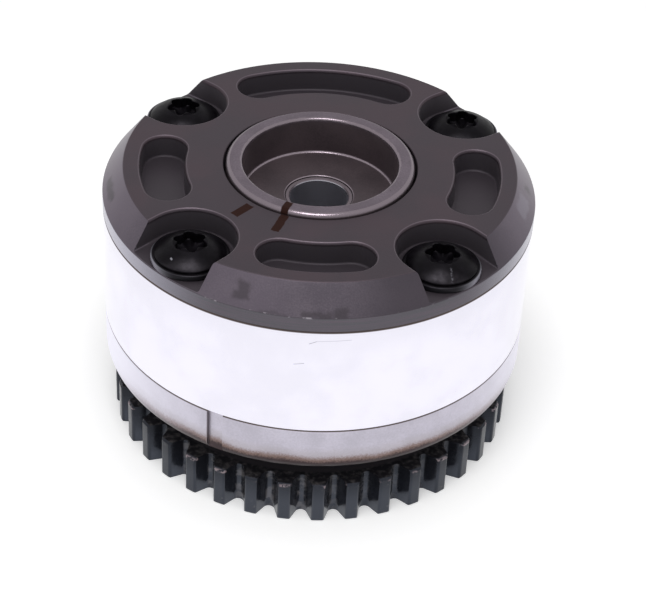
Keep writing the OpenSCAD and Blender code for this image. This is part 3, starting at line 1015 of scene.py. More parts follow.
@dataclass(frozen=True, kw_only=True)
class OxideFinish(Finish):
    """Glossy black oxide on hardened teeth, chipped on the crowns and dusty in the valleys.

    Attributes:
        tip_r: Radius of the tooth tips.
        root_r: Radius of the valleys.
        top_z: Height of the teeth's upper face.
        glare_z: Height below which the flanks get a painted reflection, a raised specular level.
    """

    name: str = "black_oxide"
    tip_r: float
    root_r: float
    top_z: float
    # Painted reflection on the lower flanks starts below this height.
    glare_z: float = 6.0
    black: Rgb = srgb(26, 26, 30)
    # Upper faces: painted lighter than the oxide to lift their shade.
    top: Rgb = srgb(42, 41, 45)
    neck: Rgb = srgb(74, 70, 74)
    dust: Rgb = srgb(112, 108, 108)
    chip: Rgb = srgb(176, 158, 162)
    sheen: Rgb = (0.7, 0.79, 1.0)

    def wear_and_painted_light(self, s: Shader, colour: Colour) -> Socket:
        """Lays dust in the valleys, chips and scuffs on the crowns and a painted light on the upper faces
        over a colour.

        Args:
            s: The shader that it is part of.
            colour: Colour of the sound oxide.

        Returns:
            The worn colour.
        """
        valley = s.times(
            s.rise(s.r, self.root_r + 0.7, self.root_r + 0.2),
            s.rise(s.r, self.root_r - 0.6, self.root_r - 0.2))
        where = s.sum(0.25, s.times(s.band(s.theta, -42.0, 6.0, 8.0), 0.6))
        colour = s.mix(s.times(valley, s.rise(s.noise(0.45, 6.0), 0.42, 0.62), where), colour, self.dust)
        chips = s.times(
            s.rise(s.r, self.tip_r - 1.0, self.tip_r - 0.7),
            s.band(s.z, self.top_z - 0.9, self.top_z - 0.25, 0.2),
            s.rise(s.noise(0.16, 2.0), 0.5, 0.56), s.rise(s.noise(1.3, 3.0), 0.4, 0.55), 0.85)
        colour = s.mix(chips, colour, self.chip)
        # Upper faces: a painted light over the black, mottled with dust.
        upper = s.shade(s.noise(0.9, 5.0), 0.4, 0.9, self.top, self.dust)
        colour = s.shade(s.up, 0.6, 0.95, colour, upper)
        scuffs = s.times(
            s.rise(s.r, self.tip_r - 0.3, self.tip_r - 0.05), s.rise(s.noise(1.1, 4.0), 0.66, 0.72), 0.5)
        return s.mix(scuffs, colour, self.dust)

    def material(self) -> bpy.types.Material:
        """Makes the finish.

        Returns:
            The material.
        """
        s = Shader(self.name)
        worn = self.wear_and_painted_light(s, self.black)
        s.set("Base Color", s.shade(s.r, self.root_r - 0.5, self.root_r - 1.5, worn, self.neck))
        # Painted shade: the gloss falls towards the teeth's upper face, under the flange, and towards the
        # sides.
        gloss = s.times(
            s.rise(s.aside, 8.0, 55.0, 0.84, 0.56), s.rise(s.z, self.top_z, self.top_z - 6.5, 0.5, 1.0))
        # Painted reflection: the lower flanks get a full specular level.
        flank_glare = s.times(
            s.band(s.r, self.root_r + 0.4, self.tip_r - 0.6, 0.3), s.rise(s.z, self.glare_z, 1.0))
        s.set("Specular IOR Level", s.mixed(flank_glare, gloss, 1.0))
        s.set("Specular Tint", self.sheen)
        s.set("Roughness", s.ragged(0.8, 4.0, 0.12, 0.26))
        s.bump(s.noise(2.0, 4.0), 0.012)
        return s.material


@dataclass(frozen=True, kw_only=True)
class BoltFinish(Finish):
    """Black coat on the bolt heads, with painted shade in the recess and painted highlights on the flange's
    outer edge.

    Attributes:
        axes: Where the bolts stand, in plan.
        recess_r: Radius within which the recess lies.
        rim_r: Radius of the flange.
        crown_z: Height of the head's crown.
        streak: Both ends of a painted highlight streak on the right front head.
        speck: Both ends of a painted highlight speck on the left front head.
    """

    name: str = "black_bolt"
    axes: Sequence[Pair]
    recess_r: float
    rim_r: float
    crown_z: float
    streak: tuple[Pair, Pair] = ((29.3, -35.2), (29.7, -38.0))
    speck: tuple[Pair, Pair] = ((-31.5, -35.4), (-31.1, -35.9))
    coat: Rgb = srgb(6, 5, 7)
    worn: Rgb = srgb(15, 13, 17)
    # Painted highlight colour, laid as metal on the flange's outer edge, the streak and the speck.
    painted_glint: Rgb = srgb(146, 145, 154)
    sheen: Rgb = (0.95, 0.87, 1.0)

    def distance(self, s: Shader) -> Socket:
        """Gives the square of the distance from the nearest bolt's axis."""
        return s.chain("MINIMUM", [
            s.sum(s.squared(s.sum(s.x, -x)), s.squared(s.sum(s.y, -y))) for x, y in self.axes])

    def material(self) -> bpy.types.Material:
        """Makes the finish.

        Returns:
            The material.
        """
        s = Shader(self.name)
        away = self.distance(s)
        pitch_r = math.hypot(*self.axes[0])
        # Painted highlight on the flange's outer edge, made metal and pale, strongest on the rear heads.
        rubbed = s.times(
            s.rise(away, (self.rim_r - 0.45) ** 2, (self.rim_r - 0.1) ** 2),
            s.rise(s.r, pitch_r + 2, pitch_r + 7, 0.05, 0.8), s.rise(s.aside, 38, 46, 0.06, 1.0))
        # Painted highlights: a streak and a speck on the front heads.
        streak = s.times(
            s.stroke(*self.streak, s.x, s.y, 0.35, 0.2), s.rise(s.noise(2.0, 3.0), 0.35, 0.6, 0.0, 0.4))
        speck = s.stroke(*self.speck, s.x, s.y, 0.3, 0.12)
        colour = s.shade(s.noise(0.5, 4.0), 0.35, 0.7, self.coat, self.worn)
        s.set("Base Color", s.mix(s.either(rubbed, streak, speck), colour, self.painted_glint))
        s.set("Metallic", rubbed)
        # Painted shade: the recess gets almost no specular level, so it reads dark.
        inside = s.times(
            s.rise(away, (self.recess_r + 0.1) ** 2, (self.recess_r - 0.2) ** 2),
            s.rise(s.z, self.crown_z - 0.25, self.crown_z - 0.7))
        # Painted sheen: a raised specular level on the front, lower part of each dome.
        painted_sheen = s.times(
            s.rise(s.ahead, -0.42, -0.64), s.rise(s.up, 0.5, 0.68),
            s.rise(s.noise(0.7, 3.0), 0.3, 0.65, 0.45, 1.0))
        s.set("Specular IOR Level", s.mixed(inside, s.mixed(painted_sheen, 0.08, 0.3), 0.03))
        s.set("Specular Tint", self.sheen)
        s.set("Roughness", s.ragged(0.9, 3.0, 0.34, 0.44))
        s.bump(s.noise(1.1, 2.0), 0.01)
        return s.material


@dataclass(frozen=True, kw_only=True)
class SealFinish(Finish):
    """Moulded dark plastic of the seal strips."""

    name: str = "seal_plastic"
    dark: Rgb = srgb(58, 54, 50)
    light: Rgb = srgb(72, 67, 61)

    def material(self) -> bpy.types.Material:
        """Makes the finish.

        Returns:
            The material.
        """
        s = Shader(self.name)
        s.set("Base Color", s.shade(s.noise(1.2), *NOISE, self.dark, self.light))
        s.set("Roughness", s.ragged(2.5, 3.0, 0.42, 0.58))
        s.bump(s.noise(4.0), 0.02)
        return s.material


class Pattern:
    """One Geometry Nodes tree with named inputs, run once into a plain mesh."""

    def __init__(self, name: str) -> None:
        """Starts an empty tree.

        Args:
            name: Name of the tree and of its piece.
        """
        self.name = name
        self.tree = bpy.data.node_groups.new(name, "GeometryNodeTree")
        self.tree.interface.new_socket("Geometry", in_out="OUTPUT", socket_type="NodeSocketGeometry")
        self.enter = self.tree.nodes.new("NodeGroupInput")
        self.leave = self.tree.nodes.new("NodeGroupOutput")
        self.values: dict[str, object] = {}

    def take(self, name: str, kind: str, value: object) -> Socket:
        """Adds a named input.

        Args:
            name: Name of the input.
            kind: Its type, such as Float or Object.
            value: What the modifier sets it to.

        Returns:
            The socket that carries it.
        """
        socket = self.tree.interface.new_socket(name, in_out="INPUT", socket_type="NodeSocket" + kind)
        self.values[socket.identifier] = value
        return self.enter.outputs[name]

    def link(self, value: Socket, socket: Socket) -> None:
        """Links an output to an input."""
        self.tree.links.new(value, socket)

    def add(self, kind: str, *inputs: object, **settings: object) -> bpy.types.Node:
        """Adds a node, sets its properties and fills its inputs in order; None skips one.

        Args:
            kind: Type of the node.
            inputs: Outputs to link, or constants, in order.
            settings: Properties to set on it.

        Returns:
            The node.
        """
        node = self.tree.nodes.new(kind)
        for name, value in settings.items():
            setattr(node, name, value)
        for socket, value in zip(node.inputs, inputs):
            if isinstance(value, bpy.types.NodeSocket):
                self.link(value, socket)
            elif value is not None:
                socket.default_value = value
        return node

    def math(self, operation: str, a: object, b: object = 0.0) -> Socket:
        """Adds one step of arithmetic."""
        return self.add("ShaderNodeMath", a, b, operation=operation).outputs[0]

    def vector(self, x: object, y: object, z: object) -> Socket:
        """Joins three values into a vector."""
        return self.add("ShaderNodeCombineXYZ", x, y, z).outputs[0]

    def turn(self, angle: object) -> Socket:
        """Makes a rotation about the axis, from radians."""
        return self.add("FunctionNodeEulerToRotation", self.vector(0.0, 0.0, angle)).outputs[0]

    def points(self, count: object) -> Socket:
        """Makes some points on the origin, told apart by their index."""
        return self.add("GeometryNodeMeshLine", count, None, (0, 0, 0), (0, 0, 0)).outputs[0]

    def index(self) -> Socket:
        """Gives the index of each point."""
        return self.add("GeometryNodeInputIndex").outputs[0]

    def shape(self, name: str, source: bpy.types.Object) -> Socket:
        """Takes an object as a named input and gives its geometry."""
        return self.add("GeometryNodeObjectInfo", self.take(name, "Object", source)).outputs["Geometry"]

    def repeated(self, points: Socket, shape: Socket, angle: Socket) -> Socket:
        """Puts a shape on each point, turned about the axis, as real geometry."""
        copies = self.add("GeometryNodeInstanceOnPoints", points, None, shape, None, None, self.turn(angle))
        return self.add("GeometryNodeRealizeInstances", copies.outputs[0]).outputs[0]

    def painted(self, shape: Socket, finish: Socket, where: object = None) -> Socket:
        """Sets a material on a shape, or on a selection of its faces."""
        return self.add("GeometryNodeSetMaterial", shape, where, finish).outputs[0]

    def run(self, result: Socket, sources: Sequence[bpy.types.Object]) -> bpy.types.Object:
        """Ends the tree, runs it and removes the source objects.

        Args:
            result: Final geometry.
            sources: Objects that the tree read.

        Returns:
            A plain mesh object.
        """
        self.link(result, self.leave.inputs[0])
        piece = placed(self.name, bpy.data.meshes.new(self.name))
        step = piece.modifiers.new(self.name, "NODES")
        step.node_group = self.tree
        for identifier, value in self.values.items():
            step[identifier] = value
        made_plain(piece)
        for source in sources:
            bpy.data.objects.remove(source)
        return piece


@dataclass(frozen=True)
class Stack:
    """Sizes that the stacked pieces share.

    Attributes:
        seat_h: Height of the bolt seats above the housing.
        end_clear: Gap between a vane and the plate at each end.
        bolt_pcr: Radius on which the bolts stand.
        front_bolts: Angle from the front to each front bolt.
        rear_bolts: Angle from the back to each rear bolt.
        travel: Angle between the rotor's stops.
        pin_pcr: Radius on which the lock pin stands.
    """

    tooth_w: float = 10.8
    neck_h: float = 6.3
    flange_h: float = 11.9
    housing_h: float = 27.9
    cover_h: float = 10.0
    seat_h: float = 4.0
    housing_r: float = 50.0
    housing_wall: float = 6.5
    hub_r: float = 26.0
    rim_bevel: float = 0.3
    end_clear: float = 0.05
    bolt_pcr: float = 41.2
    bolt_hole_r: float = 4.25
    front_bolts: float = 42.0
    rear_bolts: float = 54.0
    travel: float = 21.0
    vane_width: float = 22.0
    wide_width: float = 52.0
    pin_pcr: float = 34.75
    sleeve_r: float = 6.05

    @property
    def neck_z(self) -> float:
        """Height where the neck meets the flange."""
        return self.tooth_w + self.neck_h

    @property
    def plate_z(self) -> float:
        """Height of the flange's upper face."""
        return self.neck_z + self.flange_h

    @property
    def housing_z(self) -> float:
        """Height of the housing's upper face."""
        return self.plate_z + self.housing_h

    @property
    def seat_z(self) -> float:
        """Height of the bolt seats."""
        return self.housing_z + self.seat_h

    @property
    def cover_z(self) -> float:
        """Height of the cover's top face."""
        return self.housing_z + self.cover_h

    @property
    def chamber_r(self) -> float:
        """Radius of the oil chambers."""
        return self.housing_r - self.housing_wall

    @property
    def lobes(self) -> tuple[float, ...]:
        """Angles of the lobes and bolts."""
        return -self.front_bolts, self.front_bolts, 180 - self.rear_bolts, 180 + self.rear_bolts

    @property
    def vanes(self) -> tuple[tuple[float, float], ...]:
        """Angles and angular widths of the vanes, the wide one last, with the rotor on its rest stop.

        Returns:
            Angle and angular width of each vane.
        """
        side = (self.front_bolts + 180 - self.rear_bolts) / 2
        plain = tuple((middle + self.travel / 2, self.vane_width) for middle in (0.0, side, -side))
        return *plain, (180 + self.travel / 2, self.wide_width)

    @property
    def pin_at(self) -> float:
        """Angle of the lock pin, in the middle of the wide vane."""
        return self.vanes[-1][0]


@dataclass
class Sprocket:
    """Toothed rim, neck and flange in one piece.

    Attributes:
        tip_drop: How far the tips lie inside the chain's pitch circle.
        phase: Turn of the teeth about the axis.
        shoulder: Radius of the round between flank and tip.
        flank: Lean of a tooth's flank.
        flank_rows: Shares of the straight flank at which it has points.
        paint_line: Height above the neck where the flange's finish starts.
        merge: Distance within which seam points become one.
        crease: Angle past which an edge stays sharp.
    """

    stack: Stack
    tooth_count: int = 38
    chain_pitch: float = 8.0
    tip_drop: float = 0.45
    tooth_depth: float = 3.8
    neck_step: float = 4.7
    relief_wall: float = 6.5
    relief_z: float = 12.0
    phase: float = -1.0
    tip_w: float = 2.7
    shoulder: float = 0.7
    flank: float = 25.0
    top_bevel: float = 0.5
    rear_bevel: float = 0.2
    flange_round: float = 3.0
    bore_r: float = 20.0
    groove_at: float = -24.8
    groove_w: float = 3.9
    groove_depth: float = 0.9
    thread_r: float = 4.02
    thread_depth: float = 9.4
    pin_seat_depth: float = 6.0
    flank_rows: Pair = (0.35, 0.7)
    paint_line: float = 0.02
    merge: float = 0.002
    crease: float = 36.0

    @property
    def tip_r(self) -> float:
        """Radius of the tooth tips, just inside the chain's pitch circle."""
        return self.chain_pitch / 2 / math.sin(math.pi / self.tooth_count) - self.tip_drop

    @property
    def root_r(self) -> float:
        """Radius of the tooth valleys."""
        return self.tip_r - self.tooth_depth

    @property
    def neck_r(self) -> float:
        """Radius of the neck."""
        return self.root_r - self.neck_step

    @property
    def relief_r(self) -> float:
        """Radius of the hollow in the rear face."""
        return self.neck_r - self.relief_wall

    def half_valley(self) -> Profile:
        """Lists half a tooth gap as angles and radii, from the valley's middle to the tip's.

        Returns:
            The points, both ends included.
        """
        half = 180 / self.tooth_count
        tip_half = math.asin(self.tip_w / 2 / self.tip_r)
        lean, turn = math.radians(self.flank), math.radians(half)
        x, y = self.tip_r * math.sin(turn - tip_half), self.tip_r * math.cos(turn - tip_half)
        r = (x * math.cos(lean) + (self.root_r - y) * math.sin(lean)) / (1 - math.sin(lean))
        plan = arc(0, self.root_r + r, r, -90, -self.flank, 7)
        run = self.shoulder * math.tan(math.radians(90 - self.flank + half) / 2)
        crown = arc(
            x + run * math.cos(turn) - self.shoulder * math.sin(turn),
            y - run * math.sin(turn) - self.shoulder * math.cos(turn),
            self.shoulder, 180 - self.flank, 90 - half, 5)
        foot = plan[-1]
        for share in self.flank_rows:
            plan.append(tuple(a + (b - a) * share for a, b in zip(foot, crown[0])))
        polar = [(math.degrees(math.atan2(px, py)), math.hypot(px, py)) for px, py in plan + crown]
        return polar + [(half, self.tip_r * math.cos(tip_half))]

    def tooth_gap(self) -> bpy.types.Object:
        """Builds one open slice of the rim, from tip middle to tip middle.

        Returns:
            An open sheet, for the tree to repeat.
        """
        half = self.half_valley()
        line = [(-t, r) for t, r in reversed(half[1:])] + half
        top = self.stack.tooth_w
        rows = (
            (0.0, self.tip_r - self.rear_bevel), (self.rear_bevel, self.tip_r),
            (top - self.top_bevel, self.tip_r), (top, self.tip_r - self.top_bevel))
        gap = Shells()
        sheet = [[at(t, min(r, limit), z) for t, r in line] for z, limit in rows]
        grid = gap.wall(sheet, closed=False, loop=False)
        facets = TURN // self.tooth_count
        turns = [360 / self.tooth_count * (k / facets - 0.5) for k in range(facets + 1)]
        floor = [gap.bm.verts.new(at(t, self.relief_r, 0)) for t in turns]
        roof = [gap.bm.verts.new(at(t, self.neck_r, top)) for t in turns]
        gap.bm.faces.new(grid[0][::-1] + floor)
        gap.bm.faces.new(grid[-1] + roof[::-1])
        return gap.built("tooth_gap", outward=False)

    def drum(self) -> bpy.types.Object:
        """Builds the turned surface from the neck over the flange to the rear hollow.

        Returns:
            An open sheet that fits inside the ring of tooth gaps.
        """
        s, k, bend = self.stack, self.stack.rim_bevel, self.flange_round
        line = [(self.neck_r, s.tooth_w), (self.neck_r, s.neck_z)]
        line += arc(s.housing_r - bend, s.neck_z + bend, bend, -90, 0, 8)
        line += [(s.housing_r, s.plate_z - k), (s.housing_r - k, s.plate_z), (self.bore_r, s.plate_z)]
        line += [(self.bore_r, self.relief_z), (self.relief_r, self.relief_z), (self.relief_r, 0.0)]
        start = 180 / self.tooth_count
        turns = [360 * n / TURN - start for n in reversed(range(TURN))]
        drum = Shells()
        drum.wall([[at(t, r, z) for r, z in line] for t in turns], closed=False, loop=True)
        return drum.built("drum", outward=False)

    def ring(self, satin: bpy.types.Material) -> bpy.types.Object:
        """Repeats the tooth gap round the drum, seals the seams and paints teeth and flange.

        Args:
            satin: Material of the flange.

        Returns:
            The closed ring.
        """
        gap, drum = self.tooth_gap(), self.drum()
        tree = Pattern("sprocket_ring")
        count = tree.take("Teeth", "Int", self.tooth_count)
        angle = tree.math("MULTIPLY", tree.math("DIVIDE", tree.index(), count), math.tau)
        teeth = tree.repeated(tree.points(count), tree.shape("Tooth gap", gap), angle)
        whole = tree.add("GeometryNodeJoinGeometry")
        tree.link(teeth, whole.inputs[0])
        tree.link(tree.shape("Drum", drum), whole.inputs[0])
        sealed = tree.add("GeometryNodeMergeByDistance", whole.outputs[0], None, self.merge * MM).outputs[0]
        turned = tree.add("GeometryNodeTransform", sealed)
        phase = tree.take("Phase", "Float", math.radians(self.phase))
        tree.link(tree.turn(phase), turned.inputs["Rotation"])
        oxide = OxideFinish(tip_r=self.tip_r, root_r=self.root_r, top_z=self.stack.tooth_w).material()
        black = tree.painted(turned.outputs[0], tree.take("Tooth finish", "Material", oxide))
        place = tree.add("GeometryNodeInputPosition").outputs[0]
        height = tree.add("ShaderNodeSeparateXYZ", place).outputs[2]
        foot = tree.take("Flange height", "Float", (self.stack.neck_z + self.paint_line) * MM)
        above = tree.add("FunctionNodeCompare", height, foot, data_type="FLOAT", operation="GREATER_THAN")
        flange = tree.take("Flange finish", "Material", satin)
        return tree.run(tree.painted(black, flange, above.outputs[0]), [gap, drum])

    def build(self) -> bpy.types.Object:
        """Cuts the groove and the holes into the ring, and seats the sprocket.

        Returns:
            The seated piece.
        """
        s = self.stack
        wall_at = self.groove_at - math.degrees(math.asin(self.groove_w / 2 / s.housing_r))
        satin = FlangeFinish(foot=s.neck_z, top=s.plate_z, groove=wall_at).material()
        piece = self.ring(satin)
        piece.name = "chain_sprocket"
        groove = Shells().block(
            self.groove_at, s.housing_r - self.groove_depth, s.housing_r + 2 * OVER, self.groove_w,
            s.neck_z - OVER, s.plate_z + OVER).built("groove")
        dressed(groove, satin)
        holes = [
            Shells().drum(theta, s.bolt_pcr, self.thread_r, s.plate_z - self.thread_depth, s.plate_z + OVER)
            for theta in s.lobes]
        holes.append(Shells().drum(
            s.pin_at, s.pin_pcr, s.sleeve_r, s.plate_z - self.pin_seat_depth, s.plate_z + OVER))
        blended(piece, [groove, *(hole.built("hole") for hole in holes)], Blend.CUT)
        softened(piece, self.crease)
        seated(piece, Body.HOUSING, Slot.SPROCKET, "sprocket")
        return piece


@dataclass
class VaneHousing:
    """Bright ring with four inward lobes."""

    stack: Stack
    lobe_half: float = 17.0
    lobe_r: float = 26.3
    lobe_root: float = 3.0
    slot_w: float = 2.0
    slot_r: float = 30.5
    crease: float = 30.0

    def build(self) -> bpy.types.Object:
        """Builds, dresses and seats the housing.

        Returns:
            The seated piece.
        """
        s, k = self.stack, self.stack.rim_bevel
        low, high = s.plate_z, s.housing_z
        wall = [(s.chamber_r, low), (s.housing_r - k, low), (s.housing_r, low + k)]
        wall += [(s.housing_r, high - k), (s.housing_r - k, high), (s.chamber_r, high)]
        piece = Shells().revolve(wall).built("vane_housing_ring")
        lobes, slots, holes = Shells(), Shells(), Shells()
        for theta in s.lobes:
            lobes.sector(theta, self.lobe_half, self.lobe_r, s.chamber_r + self.lobe_root, low, high)
            slots.block(theta, self.lobe_r - OVER, self.slot_r, self.slot_w, low - OVER, high + OVER)
            holes.drum(theta, s.bolt_pcr, s.bolt_hole_r, low - OVER, high + OVER)
        blended(piece, [lobes.built("lobes")], Blend.ADD)
        blended(piece, [slots.built("slots"), holes.built("holes")], Blend.CUT)
        dressed(piece, HousingFinish(r=s.housing_r, low=low, high=high).material())
        softened(piece, self.crease)
        seated(piece, Body.HOUSING, Slot.GROUND, "vane_housing")
        return piece


@dataclass
class FrontCover:
    """Dark disc with four arc pockets and four open bolt pockets.

    Attributes:
        strip_ease: Easing of the edge between strip and bevel, inwards and upwards.
        bevel_ease: Easing of the edge between bevel and top face, outwards and downwards.
        rim_ease: Easing of that edge along the top face.
        short_half: Angle from the middle to the end of a short arc pocket.
        long_half: The same for the long one.
        pocket_reach: How far a bolt pocket's cutter stands out of the rim.
        edge: Radius of the round at a pocket's mouth.
        edge_sink: Share of that round under the top face.
        foot: Radius of the round at a pocket's floor.
    """

    stack: Stack
    hole_r: float = 22.3
    strip_h: float = 3.7
    strip_ease: Pair = (0.12, 0.15)
    bevel_w: float = 4.8
    bevel_ease: Pair = (0.18, 0.24)
    rim_ease: float = 0.12
    arc_r: float = 36.2
    arc_half_w: float = 5.1
    arc_depth: float = 5.7
    short_half: float = 20.8
    long_half: float = 33.8
    short_at: tuple[float, ...] = (0.0, 83.0, -83.0)
    long_at: float = 180.0
    pocket_r: float = 10.3
    pocket_reach: float = 3.0
    edge: float = 0.8
    edge_sink: float = 0.96
    foot: float = 0.5
    end_facets: int = 16
    pocket_facets: int = 40
    crease: float = 34.0

    def section(self, half: float, floor: float) -> Profile:
        """Lists a pocket's half widths and heights, from its floor up past the top face.

        Args:
            half: Half width at the straight wall.
            floor: Height of the floor.

        Returns:
            The section, outwards from the floor.
        """
        top = self.stack.cover_z
        line = arc(half - self.foot, floor + self.foot, self.foot, -90, 0, 4)
        line += arc(half + self.edge, top - self.edge_sink * self.edge, self.edge, 180, 90, 8)
        return line + [(half + self.edge, top + OVER)]

    def arc_pocket(self, shells: Shells, theta: float, half: float) -> None:
        """Adds the cutter of one arc pocket.

        Args:
            shells: Shells that it is added to.
            theta: Angle of its middle.
            half: Angle from its middle to each end.
        """
        end = half - math.degrees(math.asin(self.arc_half_w / self.arc_r))
        span = max(self.end_facets, round(end))
        turns = [end * (2 * i / span - 1) for i in range(span + 1)]
        bends = [180 * i / self.end_facets for i in range(1, self.end_facets)]
        near, far = at(theta - end, self.arc_r, 0), at(theta + end, self.arc_r, 0)
        rings = []
        for w, z in self.section(self.arc_half_w, self.stack.cover_z - self.arc_depth):
            ring = [at(theta + t, self.arc_r + w, z) for t in turns]
            ring += [far + at(theta + end + b, w, z) for b in bends]
            ring += [at(theta - t, self.arc_r - w, z) for t in turns]
            ring += [near + at(theta - end + 180 + b, w, z) for b in bends]
            rings.append(ring)
        shells.skin(rings)

    def bolt_pocket(self, shells: Shells, theta: float) -> None:
        """Adds the cutter of one bolt pocket, open to the rim.

        Args:
            shells: Shells that it is added to.
            theta: Angle of the bolt.
        """
        s = self.stack
        outside = -s.housing_r - self.pocket_reach
        turn = Matrix.Rotation(math.radians(theta), 4, "Z")
        bends = [math.pi * i / self.pocket_facets for i in range(self.pocket_facets + 1)]
        rings = []
        for w, z in self.section(self.pocket_r, s.seat_z):
            plan = [(-w * math.cos(b), -s.bolt_pcr + w * math.sin(b)) for b in bends]
            plan += [(w, outside), (-w, outside)]
            rings.append([turn @ (Vector((x, y, z)) * MM) for x, y in plan])
        shells.skin(rings)

    def disc(self, rim: float) -> bpy.types.Object:
        """Builds the turned disc, with its bevel from a radius of the top face down to the strip.

        Args:
            rim: Radius where the bevel leaves the top face.

        Returns:
            The disc, without pockets.
        """
        s, k = self.stack, self.stack.rim_bevel
        low, top = s.housing_z, s.cover_z
        inward, along = self.strip_ease
        outward, down = self.bevel_ease
        strip_z = low + self.strip_h
        line = [(self.hole_r, low), (s.housing_r - k, low), (s.housing_r, low + k)]
        line += [(s.housing_r, strip_z - along), (s.housing_r - inward, strip_z + along)]
        line += [(rim + outward, top - down), (rim - self.rim_ease, top)]
        line += [(self.hole_r + k / 2, top), (self.hole_r, top - k / 2)]
        return Shells().revolve(line).built("front_cover_disc")

    def build(self) -> bpy.types.Object:
        """Builds, dresses and seats the cover.

        Returns:
            The seated piece.
        """
        s = self.stack
        rim = s.housing_r - self.bevel_w
        piece = self.disc(rim)
        pockets, holes = Shells(), Shells()
        for theta in self.short_at:
            self.arc_pocket(pockets, theta, self.short_half)
        self.arc_pocket(pockets, self.long_at, self.long_half)
        for theta in s.lobes:
            self.bolt_pocket(pockets, theta)
            holes.drum(theta, s.bolt_pcr, s.bolt_hole_r, s.housing_z - OVER, s.seat_z + OVER)
        blended(piece, [pockets.built("pockets"), holes.built("holes")], Blend.CUT)
        finish = CoverFinish(
            rim_r=rim, top_z=s.cover_z, strip_z=s.housing_z + self.strip_h, joint_z=s.housing_z)
        dressed(piece, finish.material())
        softened(piece, self.crease)
        seated(piece, Body.HOUSING, Slot.SINTERED, "front_cover")
        return piece


@dataclass
class CoverBolts:
    """Flanged button-head bolts with six-lobe recesses.

    Attributes:
        thread_engage: Length of thread in the sprocket.
        dome_step: Width of the flange round the dome.
        dome_foot: Offsets in radius and height that make the groove round the dome.
        dome_in: How far the dome's first row lies inside its edge.
        dome_rows: Shares of the way from there to the recess.
        recess_power: Power of the wave that gives the recess its lobes.
        recess_lip: How far the dome ends outside the recess.
        recess_ease: Easing of the recess's edge, outwards and downwards.
        recess_wall: Depth at which its wall stands straight.
        recess_foot: Bevel at its floor.
        recess_point: Radius and depth of the drill point under its floor.
    """

    stack: Stack
    shank_r: float = 4.0
    tip_bevel: float = 0.7
    thread_engage: float = 8.1
    flange_r: float = 8.8
    flange_h: float = 1.8
    flange_edge: float = 0.36
    head_h: float = 5.1
    dome_step: float = 0.8
    dome_foot: tuple[Pair, ...] = ((-0.16, -0.02), (-0.06, 0.2), (-0.06, 0.36))
    dome_in: float = 0.18
    dome_rows: tuple[float, ...] = (0.0, 0.1, 0.25, 0.43, 0.62, 0.8, 0.93, 1.0)
    recess_lobes: int = 6
    recess_power: float = 0.8
    recess_r: float = 3.9
    recess_in_r: float = 2.85
    recess_depth: float = 3.0
    recess_lip: float = 0.25
    recess_ease: Pair = (0.05, 0.14)
    recess_wall: float = 0.75
    recess_foot: float = 0.3
    recess_point: Pair = (0.5, 0.7)
    facets: int = 96
    seed: int = 3
    crease: float = 38.0

    def head_rings(self) -> list[Ring]:
        """Lists the bolt's rings from the shank's end up over the dome into the recess.

        Returns:
            Rings with equal counts of points, in order.
        """
        turns = [360 * k / self.facets for k in range(self.facets)]
        swings = [0.5 + 0.5 * math.cos(math.radians(self.recess_lobes * t)) for t in turns]
        waves = [swing ** self.recess_power for swing in swings]
        lobes = [self.recess_in_r + (self.recess_r - self.recess_in_r) * wave for wave in waves]
        dome_r, dome_h = self.flange_r - self.dome_step, self.head_h - self.flange_h
        ball = (dome_r ** 2 + dome_h ** 2) / 2 / dome_h

        def dome_z(r: float) -> float:
            """Gives the dome's height at a radius."""
            return self.head_h - ball + math.sqrt(ball ** 2 - r ** 2)

        edge, lip = self.flange_edge, self.flange_h - self.flange_edge
        bottom = -self.stack.seat_h - self.stack.housing_h - self.thread_engage
        line = [(self.shank_r - self.tip_bevel, bottom), (self.shank_r, bottom + self.tip_bevel)]
        line += [(self.shank_r, 0.0), *arc(self.flange_r - edge, edge, edge, -90, 0, 4)]
        line += arc(self.flange_r - edge, lip - edge, edge, 0, 90, 4)
        line += [(dome_r + r, lip + z) for r, z in self.dome_foot]
        rings = [[at(t, r, z) for t in turns] for r, z in line]
        outer = dome_r - self.dome_in
        for share in self.dome_rows:
            radii = [outer * (1 - share) + (lobe + self.recess_lip) * share for lobe in lobes]
            rings.append([at(t, r, dome_z(r)) for t, r in zip(turns, radii)])
        grow, drop = self.recess_ease
        rings.append([at(t, r + grow, dome_z(r) - drop) for t, r in zip(turns, lobes)])
        floor, foot = self.head_h - self.recess_depth, self.recess_foot
        for shrink, z in ((0.0, self.head_h - self.recess_wall), (0.0, floor + foot), (foot, floor)):
            rings.append([at(t, r - shrink, z) for t, r in zip(turns, lobes)])
        tip_r, tip_depth = self.recess_point
        return rings + [[at(t, tip_r, floor - tip_depth) for t in turns]]

    def angles(self, tree: Pattern) -> Socket:
        """Gives each bolt's angle by its index: two to the front, two to the rear.

        Args:
            tree: The tree that repeats the bolt.

        Returns:
            The angle, in radians.
        """
        front = tree.take("Front half angle", "Float", math.radians(self.stack.front_bolts))
        rear = tree.take("Rear half angle", "Float", math.radians(self.stack.rear_bolts))
        places = tree.add("GeometryNodeIndexSwitch", tree.index(), data_type="FLOAT")
        turns = (
            tree.math("MULTIPLY", front, -1.0), front,
            tree.math("SUBTRACT", math.pi, rear), tree.math("ADD", math.pi, rear))
        while len(places.index_switch_items) < len(turns):
            places.index_switch_items.new()
        for socket, turn in zip(list(places.inputs)[1:], turns):
            tree.link(turn, socket)
        return places.outputs[0]

    def clocking(self, tree: Pattern) -> Socket:
        """Gives each bolt a chance turn of up to one lobe of its recess.

        Args:
            tree: The tree that repeats the bolt.

        Returns:
            The turn, in radians.
        """
        chance = tree.add("FunctionNodeRandomValue", data_type="FLOAT")
        chance.inputs["Seed"].default_value = self.seed
        spread = [socket for socket in chance.inputs if socket.name == "Max" and socket.type == "VALUE"]
        spread[0].default_value = math.radians(360 / self.recess_lobes)
        return [socket for socket in chance.outputs if socket.type == "VALUE"][0]

